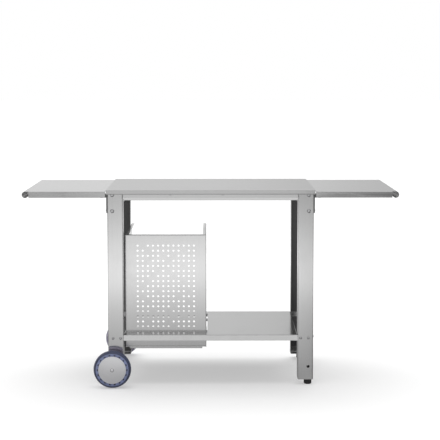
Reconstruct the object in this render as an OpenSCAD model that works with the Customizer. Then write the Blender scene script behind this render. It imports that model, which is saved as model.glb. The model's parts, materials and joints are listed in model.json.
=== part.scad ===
// Grill cart: four folded sheet legs, a top plate on rails, two fold-down side shelves,
// a lower shelf with a hanging bottle bay, two wheels on an axle and two rubber feet.
// X runs from the wheel end to the foot end, Y from front to back, and Z up from the floor.

/* [Frame] */
// Width over the outer faces of the legs
body_w = 825; // [760:5:1000]
// Depth over the front and rear faces of the legs
body_d = 450; // [420:5:540]
// Height of the top plate's face above the floor
stand_h = 791; // [770:1:860]
// Width of a leg's face
leg_w = 62.5; // [60:0.5:75]
// Depth of a leg's side flanges
leg_flange = 40; // [38:1:48]
// Sheet thickness of the legs and end rails
leg_t = 2; // [1.5:0.1:2.5]
// Outer bend radius of the legs and end rails
leg_bend = 4; // [3.2:0.1:6]
// Outer radius of the bend between a leg's inner flange and its bottom tab
tab_bend = 5; // [3.5:0.5:8]

/* [Sheet metal] */
// Thickness of the plates, shelves and top rails
sheet = 1.5; // [1:0.1:2]
// Outer bend radius of the plates and shelves
bend = 3; // [2.2:0.1:4]

/* [Top plate] */
// How far the top plate reaches past the legs at each end
plate_side = 5; // [4:0.5:8]
// How far the top plate reaches past the legs in front and behind
plate_front = 7; // [7:0.5:12]
// Height of the top plate's skirt
skirt_h = 19; // [17:1:22]

/* [Top rails] */
// How far a top rail reaches below the skirt
rail_drop = 22; // [18:1:30]
// Height of a top rail's sloped lip
lip_h = 9; // [6:1:12]
// How far the lip leans out
lip_out = 5; // [3:0.5:6]
// Width of a top rail's upper flange
rail_flange = 20; // [16:1:26]
// Height of an end rail
end_rail_h = 97; // [92:1:120]
// Width of an end rail's folded edges
end_rail_flange = 34; // [32:1:40]

/* [Side shelves] */
// Length of a side shelf
shelf_l = 331; // [240:1:400]
// How far a side shelf reaches past the legs' faces in front and behind
shelf_over = 15; // [15:0.5:40]
// How far a side shelf lies below the top plate's face
shelf_drop = 5.5; // [4:0.5:8]
// Height of a side shelf's front and rear flanges
shelf_flange = 25; // [24:1:30]
// Outer diameter of the rolled edge
curl_d = 26; // [20:1:32]
// Gap between the top plate and a side shelf
shelf_gap = 1.5; // [1:0.1:3]
// Height of a side shelf's folded inner edge
inner_flange = 14; // [10:1:15]

/* [Shelf hinges] */
// Distance from a side shelf's inner edge to its pivot
pivot_in = 13; // [13:0.5:16]
// Distance from a side shelf's face down to its pivot
pivot_down = 19.5; // [19.5:0.5:21]
// Diameter of a pivot pin
pivot_d = 8; // [6:0.5:9]
// Diameter of a guide pin
guide_d = 4; // [3:0.5:4]
// Distance from the pivot to the guide pin
guide_r = 10.5; // [10.5:0.1:11]
// Angle that a side shelf folds down
fold_angle = 90; // [70:5:90]
// Thickness of a hinge bracket
bracket_t = 4; // [3:0.5:4.5]
// Width of a hinge bracket on the leg
bracket_w = 36; // [30:1:36]
// Height of a hinge bracket on the leg
bracket_h = 76; // [74:1:95]
// Thickness of a shelf arm
arm_t = 3; // [2:0.5:4]
// Length of a shelf arm
arm_l = 80; // [60:5:140]
// Width of a shelf arm's upper flange
arm_flange = 13.4; // [10:0.1:13.4]

/* [Lower shelf] */
// Height of the lower shelf's face above the floor
low_z = 203.5; // [195:0.5:260]
// Height of the lower shelf's flanges
low_flange = 23.5; // [22:0.5:30]
// Gap between the lower shelf and the legs
low_gap = 0.8; // [0.4:0.1:1.5]

/* [Bottle bay] */
// Width of the bottle bay
bay_w = 327; // [300:1:340]
// Depth of the bottle bay
bay_d = 350; // [320:1:360]
// Height of the bay's upper edge above the floor
bay_top = 603; // [520:1:640]
// Height of the tray's face above the floor
bay_floor = 147.6; // [130:0.1:160]
// Gap between the bay and the leg beside it
bay_gap = 5; // [4.5:0.5:8]
// How far the front panel lies behind the legs' front faces
bay_set = 47; // [42:1:60]
// Width of the bay's folded top edges
bay_flange = 14; // [10:1:20]
// Width of the side walls' bottom flanges
wall_foot = 30; // [26:1:40]
// Height of the tray's lips
tray_lip = 9.6; // [8:0.1:14]
// Length cut away from a lip at each corner of the tray
tray_relief = 15; // [10:1:20]
// Height of the tray's pressed seat above its face
tray_seat = 2.5; // [2:0.1:4]

/* [Perforation] */
// Diameter of the perforations
perf_d = 8; // [5:0.5:10]
// Distance between the perforations
perf_pitch = 20.7; // [18:0.1:21]
// Number of columns
perf_cols = 12; // [6:1:13]
// Number of rows
perf_rows = 18; // [6:1:20]
// Distance from the panel's upper edge to the first row
perf_top = 44; // [30:1:60]

/* [Wheels] */
// Diameter of a wheel
wheel_d = 150; // [140:1:160]
// Width of a tyre
tyre_w = 34; // [28:1:38]
// Height of the tyre's rubber above the rim
tyre_h = 8; // [6:0.5:14]
// Distance from the leg's face to the middle of a wheel
wheel_off = 40; // [38:1:50]
// Diameter of a hub cap
cap_d = 110; // [96:1:112]
// How far a hub cap bulges
cap_bulge = 3; // [2:0.5:4]
// Number of pockets round the rim
pockets = 18; // [12:1:24]
// Number of ribs on a wheel's inner side
ribs = 9; // [6:1:12]
// Diameter of the axle
axle_d = 12; // [10:0.5:14]
// Distance from the legs' outer faces to the axle
axle_in = 20; // [19:0.5:22]
// Height of the block in each leg that carries the axle
block_h = 36; // [26:1:40]

/* [Feet] */
// Diameter of a foot
foot_d = 31; // [26:1:34]
// Height of a foot
foot_h = 21; // [18:1:26]

/* [Fasteners] */
// Diameter of the large bolts
big_d = 8; // [6:1:8]
// Diameter of the small bolts
small_d = 6; // [5:1:6]
// Distance from the top plate's skirt down to the lower bolt in each end rail
bolt_drop = 66.5; // [60:0.5:70]
// Distance of the inner lower bolt from the outer one
bolt_pair = 30.5; // [26:0.5:32]

/* [Clearances] */
// Radial play between a pin and its bore
run_gap = 0.06; // [0.02:0.01:0.1]
// Play between parts that move past each other
part_gap = 0.3; // [0.2:0.05:0.5]
// Play of a bolt in its hole
bolt_gap = 0.25; // [0.1:0.05:0.4]

/* [Hidden] */
$fn = 48;
eps = 0.01;

// Small sizes that have no name above
high_bolt_drop = 2;
rail_set = 2.5;
end_cut = 12;
stud_in = 16;
stud_l = 14;
bracket_bolt_drop = 6.5;
bracket_corner = 12;
shelf_bolt_drop = 12.8;
side_bolt_drop = 9;
side_bolt_in = 15;
tab_l = 25;
rivet_in = 60;
rivet_d = 3.2;
tray_bolt_in = 19;
tray_bolt_end = 33;
tray_bolt_l = 19;
seat_in = 6;
seat_corner = 20;
nut_end = 1;
pin_wall = 4;
ring_w = 3;

// Places that follow from the sizes above
hx = body_w / 2;
hy = body_d / 2;
flange_mid = leg_flange / 2;
leg_x = hx - leg_w / 2;
inner_x = hx - leg_w;
bolt_x = hx - axle_in;
axle_z = wheel_d / 2;
skirt_z = stand_h - skirt_h;
plate_under = stand_h - sheet;
plate_hx = hx + plate_side;
plate_hy = hy + plate_front;
high_bolt_z = skirt_z - high_bolt_drop;
low_bolt_z = skirt_z - bolt_drop;
web_hy = hy - leg_t;

shelf_z = stand_h - shelf_drop;
shelf_d = body_d + 2 * shelf_over;
shelf_x0 = plate_hx + shelf_gap;
shelf_x1 = shelf_x0 + shelf_l;
curl_r = curl_d / 2;
curl_x = shelf_x1 - curl_r;
flange_x1 = shelf_x1 - curl_d - 1;
curl_in = 1;
pivot_x = shelf_x0 + pivot_in;
pivot_z = shelf_z - pivot_down;
slot_w = guide_d + 2 * part_gap;
ear_r = guide_r + slot_w / 2 + 3;
ear_y1 = web_hy;
ear_y0 = ear_y1 - bracket_t;
arm_y0 = ear_y1 + part_gap;
arm_y1 = arm_y0 + arm_t;
rest_angle = 90 + fold_angle / 2;
bracket_z1 = skirt_z - 0.5;
bracket_z0 = bracket_z1 - bracket_h;
bracket_bolt_y = ear_y1 - flange_mid;
bracket_bolt_z1 = bracket_z1 - bracket_bolt_drop;

low_x = inner_x - low_gap;
low_bolt_z1 = low_z - shelf_bolt_drop;
side_bolt_z = low_z - side_bolt_drop;
side_bolt_y = web_hy - side_bolt_in;
tab_z0 = low_z - low_flange + 0.5;
tab_z1 = low_z - 2;

bay_x0 = -inner_x + bay_gap;
bay_x1 = bay_x0 + bay_w;
bay_y0 = -hy + bay_set;
bay_y1 = bay_y0 + bay_d;
bay_mid = (bay_x0 + bay_x1) / 2;
return_d = 18;
cut_gap = 1;
cut_x1 = bay_x1 + 4;
holder_bolt_y = bay_d * 0.31;
holder_bolt_z = low_z - low_flange / 2;
rivet_z = [for (i = [0:2]) bay_floor + rivet_in + i * (bay_top - bay_floor - 2 * rivet_in) / 2];
rivet_y = bay_y0 + return_d - 6;

hub_r = 15;
bush_r = axle_d / 2 + pin_wall;
bush_flange = 1.5;
hub_in = -tyre_w / 2;
hub_out = 12;
rim_r1 = wheel_d / 2 - tyre_h;
rim_r0 = cap_d / 2 - 0.4;
rim_face = tyre_w / 2 - 2;
rim_lip = 2;
cap_t = 1.2;
pocket_w = 8;
pocket_h = 4.6;
pocket_depth = 7;
axle_half = hy + wheel_off + 14;
block_end = leg_flange - 1;

big_head_r = big_d;
big_head_h = big_d * 0.56;
small_head_r = small_d;
small_head_h = small_d * 0.55;
big_nut_h = big_d * 0.8;
small_nut_h = small_d * 0.83;

steel = [0.78, 0.79, 0.80];
bright = [0.86, 0.87, 0.88];
blue = [0.36, 0.42, 0.58];
rim_blue = [0.42, 0.47, 0.62];
black = [0.08, 0.08, 0.08];

// Outline with its four corners rounded, its lower left corner at the origin
module rounded_rect(w, h, r) {
    translate([r, 0]) square([w - 2 * r, h]);
    translate([0, r]) square([w, h - 2 * r]);
    for (x = [r, w - r], y = [r, h - r]) translate([x, y]) circle(r);
}

// Outline of a folded channel: its web lies along y = 0 and its flanges run to y = d
module channel_outline(w, d, t, r) {
    difference() {
        intersection() {
            translate([-w / 2, 0]) rounded_rect(w, d + 2 * r, r);
            translate([-w / 2, 0]) square([w, d]);
        }
        translate([t - w / 2, t]) rounded_rect(w - 2 * t, d + 2 * r, r - t);
    }
}

// Extrusion along X of an outline drawn in Y and Z
module along_x(len) { rotate([90, 0, 90]) linear_extrude(len) children(); }

// Extrusion along Y of an outline drawn in X and Z
module along_y(len) { translate([0, len, 0]) rotate([90, 0, 0]) linear_extrude(len) children(); }

// Solid box with its upper edges rounded, as folded sheet has them, centred on X and Y
module folded_block(w, d, h, r) {
    intersection() {
        translate([0, -d / 2 - 1, 0]) along_y(d + 2) capped_outline(w, h, r);
        translate([-w / 2 - 1, 0, 0]) along_x(w + 2) capped_outline(d, h, r);
    }
}

// Outline with rounded upper corners, centred on the first axis, from -h to 0 on the second
module capped_outline(w, h, r) {
    translate([-w / 2, -h]) square([w, h - r]);
    translate([r - w / 2, -h]) square([w - 2 * r, h]);
    for (x = [r - w / 2, w / 2 - r]) translate([x, -r]) circle(r);
}

// Open tray, upside down, folded from sheet with its face at z = 0
module folded_tray(w, d, h, t, r) {
    difference() {
        folded_block(w, d, h, r);
        translate([0, 0, -t]) folded_block(w - 2 * t, d - 2 * t, h, r - t);
    }
}

// Copies mirrored to both ends, to front and back, or to all four corners
module both_ends() { for (m = [0, 1]) mirror([m, 0, 0]) children(); }
module both_faces() { for (m = [0, 1]) mirror([0, m, 0]) children(); }
module four_corners() { both_ends() both_faces() children(); }

// Turn that points the local Z axis out of the front face, or out of the right end
module to_front(x, y, z) { translate([x, -y, z]) rotate([90, 0, 0]) children(); }
module to_right(x, y, z) { translate([x, -y, z]) rotate([0, 90, 0]) children(); }

// Domed bolt whose head stands on z = 0 and whose shank runs down from it. The dome rises
// from a low rim.
module domed_bolt(d, head_r, head_h, len) {
    rise = head_h * 0.85;
    ball = (head_r * head_r + rise * rise) / (2 * rise);
    intersection() {
        translate([0, 0, head_h - ball]) sphere(ball);
        cylinder(r = head_r, h = head_h + 1);
    }
    translate([0, 0, -len]) cylinder(d = d, h = len + eps);
}

module big_bolt(len) { domed_bolt(big_d, big_head_r, big_head_h, len); }
module small_bolt(len) { domed_bolt(small_d, small_head_r * 0.9, small_head_h, len); }

// Hexagon nut that stands on z = 0 and runs down from it, round a bolt
module hex_nut(d, h) {
    translate([0, 0, -h]) difference() {
        cylinder(d = d * 1.85, h = h, $fn = 6);
        translate([0, 0, -1]) cylinder(r = d / 2 + run_gap, h = h + 2);
    }
}

// Hole for a bolt of diameter d, centred on the sheet that it goes through
module bolt_hole(d, depth) { cylinder(r = d / 2 + bolt_gap, h = depth, center = true); }

// Legs: one folded sheet channel each, with a bottom tab folded in from the inner flange
module leg() {
    difference() {
        leg_block(leg_w, leg_bend, tab_bend, 0);
        leg_block(leg_w - 2 * leg_t, leg_bend - leg_t, tab_bend - leg_t, leg_t);
        leg_holes();
    }
}

// Block in the leg's outer or inner form: shrunk by t, and open behind and above when t isn't 0
module leg_block(w, r, tab_r, t) {
    d = t == 0 ? leg_flange : leg_flange + 2 * r;
    top = t == 0 ? plate_under : plate_under + 10;
    translate([leg_x, -hy, 0]) intersection() {
        linear_extrude(top + 1) intersection() {
            translate([-w / 2, t]) rounded_rect(w, leg_flange + 4 * r, r);
            translate([-w / 2, t]) square([w, d]);
        }
        along_y(leg_flange + 4 * r) {
            translate([tab_r - w / 2, foot_h + t]) square([w - tab_r, top - foot_h - t]);
            translate([-w / 2, foot_h + t + tab_r]) square([w, top - foot_h - t - tab_r]);
            translate([tab_r - w / 2, foot_h + t + tab_r]) circle(tab_r);
        }
    }
}

// Bolt holes, axle hole, window for the lower shelf's tab and seams of the bottom tab
module leg_holes() {
    for (z = [high_bolt_z, low_bolt_z]) to_front(bolt_x, hy, z) bolt_hole(big_d, 3 * leg_t);
    for (x = [bolt_x, bolt_x - bolt_pair]) to_front(x, hy, low_bolt_z1) bolt_hole(small_d, 3 * leg_t);
    to_front(bolt_x, hy, axle_z) cylinder(r = axle_d / 2 + bolt_gap, h = 3 * leg_t, center = true);
    for (z = [bracket_bolt_z1, low_bolt_z]) {
        to_right(hx, bracket_bolt_y, z) bolt_hole(small_d, 3 * leg_t);
    }
    to_right(hx, side_bolt_y, side_bolt_z) bolt_hole(small_d, 3 * leg_t);
    to_right(inner_x, hy - flange_mid, high_bolt_z) bolt_hole(small_d, 3 * leg_t);
    translate([inner_x - 1, -web_hy, tab_z0 - 0.5]) cube([leg_bend + 1.5, 5, tab_z1 - tab_z0 + 1]);
    translate([bolt_x, foot_y(), foot_h]) bolt_hole(big_d, 3 * leg_t);
    translate([hx - leg_t - 0.5, leg_t - hy, foot_h - 1]) cube([0.5, leg_flange, leg_t + 2]);
    translate([inner_x + tab_bend, leg_t - hy, foot_h - 1]) cube([leg_w - tab_bend - leg_t, 0.5, leg_t + 2]);
}

function foot_y() = flange_mid - hy;

module leg_front_right() { color(steel) leg(); }
module leg_front_left() { color(steel) mirror([1, 0, 0]) leg(); }
module leg_rear_right() { color(steel) mirror([0, 1, 0]) leg(); }
module leg_rear_left() { color(steel) mirror([1, 0, 0]) mirror([0, 1, 0]) leg(); }

// End rail: a deep folded channel between the front and rear leg, inside their outer flanges
module end_rail() {
    z0 = plate_under - end_rail_h;
    difference() {
        union() {
            translate([hx - leg_t, 0, z0]) rotate([0, 0, 90]) linear_extrude(end_rail_h)
                channel_outline(2 * web_hy, end_rail_flange, leg_t, leg_bend);
            translate([hx - leg_t - rail_flange - 6, end_cut - web_hy, plate_under - leg_t])
                cube([rail_flange + 6 - leg_t / 2, 2 * (web_hy - end_cut), leg_t]);
        }
        both_faces() {
            for (z = [high_bolt_z, low_bolt_z]) to_front(bolt_x, web_hy, z) bolt_hole(big_d, 3 * leg_t);
            for (z = [bracket_bolt_z1, low_bolt_z]) {
                to_right(hx - leg_t, bracket_bolt_y, z) bolt_hole(small_d, 3 * leg_t);
            }
            translate([stud_x(), -stud_y(), plate_under]) bolt_hole(small_d, 3 * leg_t);
        }
    }
}

function stud_x() = hx - leg_t - stud_in;
function stud_y() = hy * 0.5;

module right_end_rail() { color(steel) end_rail(); }
module left_end_rail() { color(steel) mirror([1, 0, 0]) end_rail(); }

// Top rail: upper flange, web and sloped lip, with end tabs that bolt to the legs
module top_rail() {
    face = plate_hy - sheet - rail_set;
    lip_z = skirt_z - rail_drop + lip_h;
    slope = sqrt(lip_out * lip_out + lip_h * lip_h);
    nx = sheet * lip_h / slope;
    nz = sheet * lip_out / slope;
    end_x = inner_x - low_gap;
    tab_h = plate_under - lip_z - 2;
    difference() {
        union() {
            translate([-end_x, 0, 0]) along_x(2 * end_x) polygon([
                [-face, plate_under], [-face, lip_z],
                [-face - lip_out, lip_z - lip_h], [nx - face - lip_out, lip_z - lip_h - nz],
                [sheet - face, lip_z - nz / 2], [sheet - face, plate_under - sheet],
                [rail_flange - face, plate_under - sheet], [rail_flange - face, plate_under]
            ]);
            both_ends() translate([end_x - sheet, -face, plate_under - tab_h])
                cube([sheet, face - hy + leg_flange - 4, tab_h]);
        }
        both_ends() {
            to_right(end_x, hy - flange_mid, high_bolt_z) bolt_hole(small_d, 3 * sheet);
            translate([end_x, -face - 9, lip_z - lip_h - 2]) rotate([0, -45, 0])
                cube([12, 18, 12], center = true);
        }
        for (x = rail_screw_x) to_front(x, face, high_bolt_z) bolt_hole(4, 4 * sheet);
    }
}

rail_screw_x = [-161, 48];

module front_top_rail() { color(steel) top_rail(); }
module rear_top_rail() { color(steel) mirror([0, 1, 0]) top_rail(); }

// Top plate with its skirt, and the studs that hold it to the end rails
module top_plate() {
    color(bright) {
        translate([0, 0, stand_h]) folded_tray(2 * plate_hx, 2 * plate_hy, skirt_h, sheet, bend);
        four_corners() translate([stud_x(), -stud_y(), plate_under - stud_l])
            cylinder(d = small_d, h = stud_l + sheet / 2);
    }
}

module top_plate_nuts() {
    color(bright) four_corners() translate([stud_x(), -stud_y(), plate_under - leg_t])
        hex_nut(small_d, small_nut_h);
}

module rail_screws() {
    face = plate_hy - sheet - rail_set;
    color(bright) both_faces() for (x = rail_screw_x)
        to_front(x, face, high_bolt_z) domed_bolt(4, 3.4, 1, 8);
}

module rail_bolts() {
    color(bright) four_corners() translate([low_x - sheet, flange_mid - hy, high_bolt_z])
        rotate([0, -90, 0]) small_bolt(low_gap + sheet + leg_t + small_nut_h + nut_end);
}

module rail_nuts() {
    color(bright) four_corners() translate([inner_x + leg_t, flange_mid - hy, high_bolt_z])
        rotate([0, -90, 0]) hex_nut(small_d, small_nut_h);
}

module leg_top_bolts() {
    color(bright) four_corners() for (z = [high_bolt_z, low_bolt_z])
        to_front(bolt_x, hy, z) big_bolt(2 * leg_t + big_nut_h + nut_end);
}

module leg_top_nuts() {
    color(bright) four_corners() for (z = [high_bolt_z, low_bolt_z])
        to_front(bolt_x, web_hy - leg_t, z) hex_nut(big_d, big_nut_h);
}

// Lower shelf: a folded tray with a cut-out for the bottle bay and tabs that go into the legs
module lower_shelf() {
    color(steel) difference() {
        union() {
            difference() {
                translate([0, 0, low_z]) folded_tray(2 * low_x, 2 * web_hy, low_flange, sheet, bend);
                translate([-low_x + sheet + 1.5, bay_y0 - cut_gap, low_z - low_flange - 1])
                    cube([cut_x1 + low_x - sheet - 1.5, bay_d + 2 * cut_gap, low_flange + 2]);
            }
            translate([cut_x1, bay_y0 - cut_gap, low_z - low_flange])
                cube([sheet, bay_d + 2 * cut_gap, low_flange - sheet / 2]);
            for (y = [bay_y0 - cut_gap - sheet, bay_y1 + cut_gap])
                translate([-low_x + 6, y, low_z - 11]) cube([cut_x1 + low_x - 8, sheet, 10]);
            four_corners() shelf_tab();
        }
        four_corners() {
            for (x = [bolt_x, bolt_x - bolt_pair])
                to_front(x, web_hy, low_bolt_z1) bolt_hole(small_d, 3 * sheet);
            to_right(hx - leg_t, side_bolt_y, side_bolt_z) bolt_hole(small_d, 3 * sheet);
        }
        for (x = [-low_x, cut_x1], y = [-holder_bolt_y, holder_bolt_y])
            to_right(x + sheet / 2, y - bay_centre_y(), holder_bolt_z) bolt_hole(small_d, 3 * sheet);
    }
}

function bay_centre_y() = (bay_y0 + bay_y1) / 2;

// Tab of the lower shelf behind a leg's face, with its end folded along the outer flange
module shelf_tab() {
    translate([0, 0, tab_z0]) linear_extrude(tab_z1 - tab_z0) difference() {
        tab_corner(0);
        tab_corner(sheet);
    }
}

// Outer or inner outline of that tab, with one rounded corner in the leg
module tab_corner(t) {
    x0 = low_x - bend;
    x1 = hx - leg_t - t;
    r = leg_bend - t;
    translate([x0 - t, t - web_hy]) square([x1 - r - x0 + t, tab_l]);
    translate([x0 - t, t + r - web_hy]) square([x1 - x0 + t, tab_l - t - r + (t == 0 ? 0 : 1)]);
    translate([x1 - r, t + r - web_hy]) circle(r);
}

module shelf_bolts() {
    color(bright) four_corners() {
        for (x = [bolt_x, bolt_x - bolt_pair])
            to_front(x, hy, low_bolt_z1) small_bolt(leg_t + sheet + small_nut_h + nut_end);
        to_right(hx, side_bolt_y, side_bolt_z) small_bolt(leg_t + sheet + small_nut_h + nut_end);
    }
}

module shelf_nuts() {
    color(bright) four_corners() {
        for (x = [bolt_x, bolt_x - bolt_pair])
            to_front(x, web_hy - sheet, low_bolt_z1) hex_nut(small_d, small_nut_h);
        to_right(hx - leg_t - sheet, side_bolt_y, side_bolt_z) hex_nut(small_d, small_nut_h);
    }
}

// Columns left undrilled in each row, counted from 0 at the left
function plain_columns(row) =
    let (first = (2 * row * row + 9 * row) % 10)
    row % 4 == 0 ? [1 + first] : [1 + first, 1 + (first + 6 + row % 3) % 10];

function is_drilled(col, row) = len([for (p = plain_columns(row)) if (p == col) p]) == 0;

// Perforated front panel with folded sides and a folded upper edge
module bottle_front_panel() {
    h = bay_top - bay_floor;
    color(steel) difference() {
        translate([bay_mid, bay_y0, bay_top]) panel_block(bay_w, h, 0);
        translate([bay_mid, bay_y0, bay_top]) panel_block(bay_w - 2 * sheet, h, sheet);
        translate([bay_x0 - 1, bay_y0 + bay_flange, bay_top - bend - 2])
            cube([bay_w + 2, return_d, bend + 4]);
        for (row = [0:perf_rows - 1], col = [0:perf_cols - 1]) if (is_drilled(col, row))
            to_front(bay_mid + (col - (perf_cols - 1) / 2) * perf_pitch, -bay_y0,
                bay_top - perf_top - row * perf_pitch) cylinder(d = perf_d, h = 6 * sheet, center = true);
        for (x = [bay_x0, bay_x1], z = rivet_z)
            translate([x, rivet_y, z]) rotate([0, 90, 0])
                cylinder(d = rivet_d + 0.2, h = 4 * sheet, center = true);
    }
}

// Block in the panel's outer or inner form, its face at y = 0 and its upper edge at z = 0
module panel_block(w, h, t) {
    r = bend - t;
    intersection() {
        translate([0, 0, -h - t]) linear_extrude(h + (t == 0 ? 0 : eps)) intersection() {
            translate([-w / 2, t]) rounded_rect(w, return_d + 4 * bend, r);
            translate([-w / 2, t]) square([w, return_d + (t == 0 ? 0 : 1)]);
        }
        translate([-w / 2 - 1, 0, 0]) along_x(w + 2) {
            translate([t, -h - 1 - t]) square([return_d + 2, h + 1 - r]);
            translate([t + r, -h - 1 - t]) square([return_d + 2 - r, h + 1]);
            translate([t + r, -t - r]) circle(r);
        }
    }
}

// Side wall of the bay: a plate with folded flanges above and below
module bay_wall() {
    wall_y0 = bay_y0 + bend + part_gap;
    flange_y0 = bay_y0 + bay_flange + part_gap;
    h = bay_top - bay_floor;
    difference() {
        translate([0, wall_y0, 0]) along_y(bay_y1 - wall_y0) difference() {
            wall_outline(0, h, bend);
            wall_outline(sheet, h - 2 * sheet, bend - sheet);
        }
        translate([-1, wall_y0 - 1, h - bend - 1]) cube([bay_w, flange_y0 - wall_y0 + 1, bend + 2]);
        translate([bay_flange - sheet, wall_y0 - 1, h / 2]) cube([bay_w, bay_d, h]);
        for (y = [-holder_bolt_y, holder_bolt_y])
            translate([0, bay_centre_y() + y, holder_bolt_z - bay_floor]) rotate([0, 90, 0])
                bolt_hole(small_d, 4 * sheet);
        for (z = rivet_z) translate([0, rivet_y, z - bay_floor]) rotate([0, 90, 0])
            cylinder(d = rivet_d + 0.2, h = 4 * sheet, center = true);
        for (y = tray_bolt_y()) translate([tray_bolt_in - sheet, y, 0]) bolt_hole(small_d, 4 * sheet);
    }
}

// Outline of a side wall from the front: open towards the bay, with rounded outer corners
module wall_outline(t, h, r) {
    translate([t, t + r]) square([wall_foot - sheet + (t == 0 ? 0 : 1), h - 2 * r]);
    translate([t + r, t]) square([wall_foot - sheet - r + (t == 0 ? 0 : 1), h]);
    for (z = [t + r, t + h - r]) translate([t + r, z]) circle(r);
}

function tray_bolt_y() = [bay_y0 + tray_bolt_end, bay_y1 - tray_bolt_end];

module bottle_side_left() { color(steel) translate([bay_x0 + sheet, 0, bay_floor]) bay_wall(); }

module bottle_side_right() {
    color(steel) translate([bay_x1 - sheet, 0, bay_floor]) mirror([1, 0, 0]) bay_wall();
}

// Tray that the bottle stands on: lips all round, its corners cut back, and a pressed seat that
// lifts the bottle clear of the side walls' feet
module bottle_tray() {
    color(steel) difference() {
        union() {
            translate([bay_mid, bay_centre_y(), bay_floor]) folded_tray(bay_w, bay_d, tray_lip, sheet, bend - 0.5);
            tray_seat_block(0, bay_floor - sheet / 2, tray_seat + sheet / 2);
        }
        tray_seat_block(sheet, bay_floor - sheet - 1, tray_seat + 1);
        for (x = [bay_x0, bay_x1 - tray_relief], y = [bay_y0, bay_y1 - tray_relief])
            translate([x - 1, y - 1, bay_floor - tray_lip - 1])
                cube([tray_relief + 2, tray_relief + 2, tray_lip + 1 - bend]);
        for (x = [bay_x0 + tray_bolt_in, bay_x1 - tray_bolt_in], y = tray_bolt_y())
            translate([x, y, bay_floor]) bolt_hole(small_d, 4 * sheet);
    }
}

// Block with rounded corners over the tray's seat, set in from its edges by t
module tray_seat_block(t, z, h) {
    w = bay_w - 2 * (wall_foot + seat_in + t);
    d = bay_d - 2 * (return_d + seat_in + t);
    translate([bay_mid - w / 2, bay_centre_y() - d / 2, z]) linear_extrude(h)
        rounded_rect(w, d, seat_corner - t);
}

module panel_rivets() {
    color(bright) for (side = [0, 1], z = rivet_z)
        translate([side == 0 ? bay_x0 : bay_x1, rivet_y, z])
            rotate([0, side == 0 ? -90 : 90, 0]) rivet(2 * sheet);
}

// Blind rivet with its head on z = 0 and its tail below the sheets
module rivet(grip) {
    domed_bolt(rivet_d, rivet_d, 1, grip + 1);
    translate([0, 0, -grip - 1.5]) cylinder(r = 2.4, h = 1.5);
}

module bay_bolts() {
    color(bright) for (side = [0, 1], y = [-holder_bolt_y, holder_bolt_y])
        translate([side == 0 ? bay_x0 + 2 * sheet : bay_x1 - 2 * sheet, bay_centre_y() + y, holder_bolt_z])
            rotate([0, side == 0 ? 90 : -90, 0]) small_bolt(3 * sheet + bay_spacer_l() + small_nut_h + 2);
}

function bay_spacer_l() = cut_x1 - bay_x1;

module bay_spacers() {
    left_l = low_x + bay_x0;
    color(bright) for (y = [-holder_bolt_y, holder_bolt_y]) {
        translate([bay_x1 - sheet + part_gap, bay_centre_y() + y, holder_bolt_z]) rotate([0, 90, 0])
            spacer(cut_x1 - bay_x1 + sheet - 2 * part_gap, small_d);
        translate([bay_x0 + sheet - part_gap, bay_centre_y() + y, holder_bolt_z]) rotate([0, -90, 0])
            spacer(left_l - 2 * part_gap, small_d);
    }
}

// Ring of length l round a bolt or axle of diameter d, standing on z = 0
module spacer(l, d) {
    difference() {
        cylinder(r = d / 2 + ring_w, h = l);
        translate([0, 0, -1]) cylinder(r = d / 2 + run_gap, h = l + 2);
    }
}

module bay_nuts() {
    color(bright) for (y = [-holder_bolt_y, holder_bolt_y]) {
        translate([-low_x, bay_centre_y() + y, holder_bolt_z]) rotate([0, 90, 0])
            hex_nut(small_d, small_nut_h);
        translate([cut_x1 + sheet, bay_centre_y() + y, holder_bolt_z]) rotate([0, -90, 0])
            hex_nut(small_d, small_nut_h);
    }
}

module tray_bolts() {
    color(bright) for (x = [bay_x0 + tray_bolt_in, bay_x1 - tray_bolt_in], y = tray_bolt_y())
        translate([x, y, bay_floor + sheet]) small_bolt(tray_bolt_l);
}

module tray_nuts() {
    color(bright) for (x = [bay_x0 + tray_bolt_in, bay_x1 - tray_bolt_in], y = tray_bolt_y())
        translate([x, y, bay_floor - sheet]) hex_nut(small_d, small_nut_h);
}

// Hinge bracket: a plate on the leg's outer side with an ear that carries the pivot
module hinge_bracket() {
    difference() {
        union() {
            translate([hx, -ear_y1, 0]) bracket_plate();
            translate([0, -ear_y1, 0]) along_y(bracket_t) ear_outline();
        }
        translate([plate_hx - 20, -hy - 1, bracket_z1]) cube([20.8, bracket_w + 4, 30]);
        to_front(pivot_x, ear_y1, pivot_z) cylinder(r = pivot_d / 2 + run_gap, h = 3 * bracket_t, center = true);
        for (z = [bracket_bolt_z1, low_bolt_z])
            to_right(hx + bracket_t / 2, bracket_bolt_y, z) bolt_hole(small_d, 3 * bracket_t);
    }
}

// Plate of a bracket, with rounded lower corners
module bracket_plate() {
    r = bracket_corner;
    along_x(bracket_t) {
        translate([0, bracket_z0 + r]) square([bracket_w, bracket_h - r]);
        translate([r, bracket_z0]) square([bracket_w - 2 * r, bracket_h]);
        for (y = [r, bracket_w - r]) translate([y, bracket_z0 + r]) circle(r);
    }
}

// Outline of an ear: a neck from the leg to a disc round the pivot, less the guide slot
module ear_outline() {
    low = shelf_z - shelf_flange - 1.5;
    difference() {
        intersection() {
            union() {
                translate([pivot_x, pivot_z]) circle(ear_r);
                translate([hx, low]) square([pivot_x - hx, bracket_z1 - low]);
            }
            translate([hx, low]) square([pivot_x - hx + ear_r, ear_r * 3]);
        }
        translate([pivot_x, pivot_z]) guide_slot();
    }
}

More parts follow.
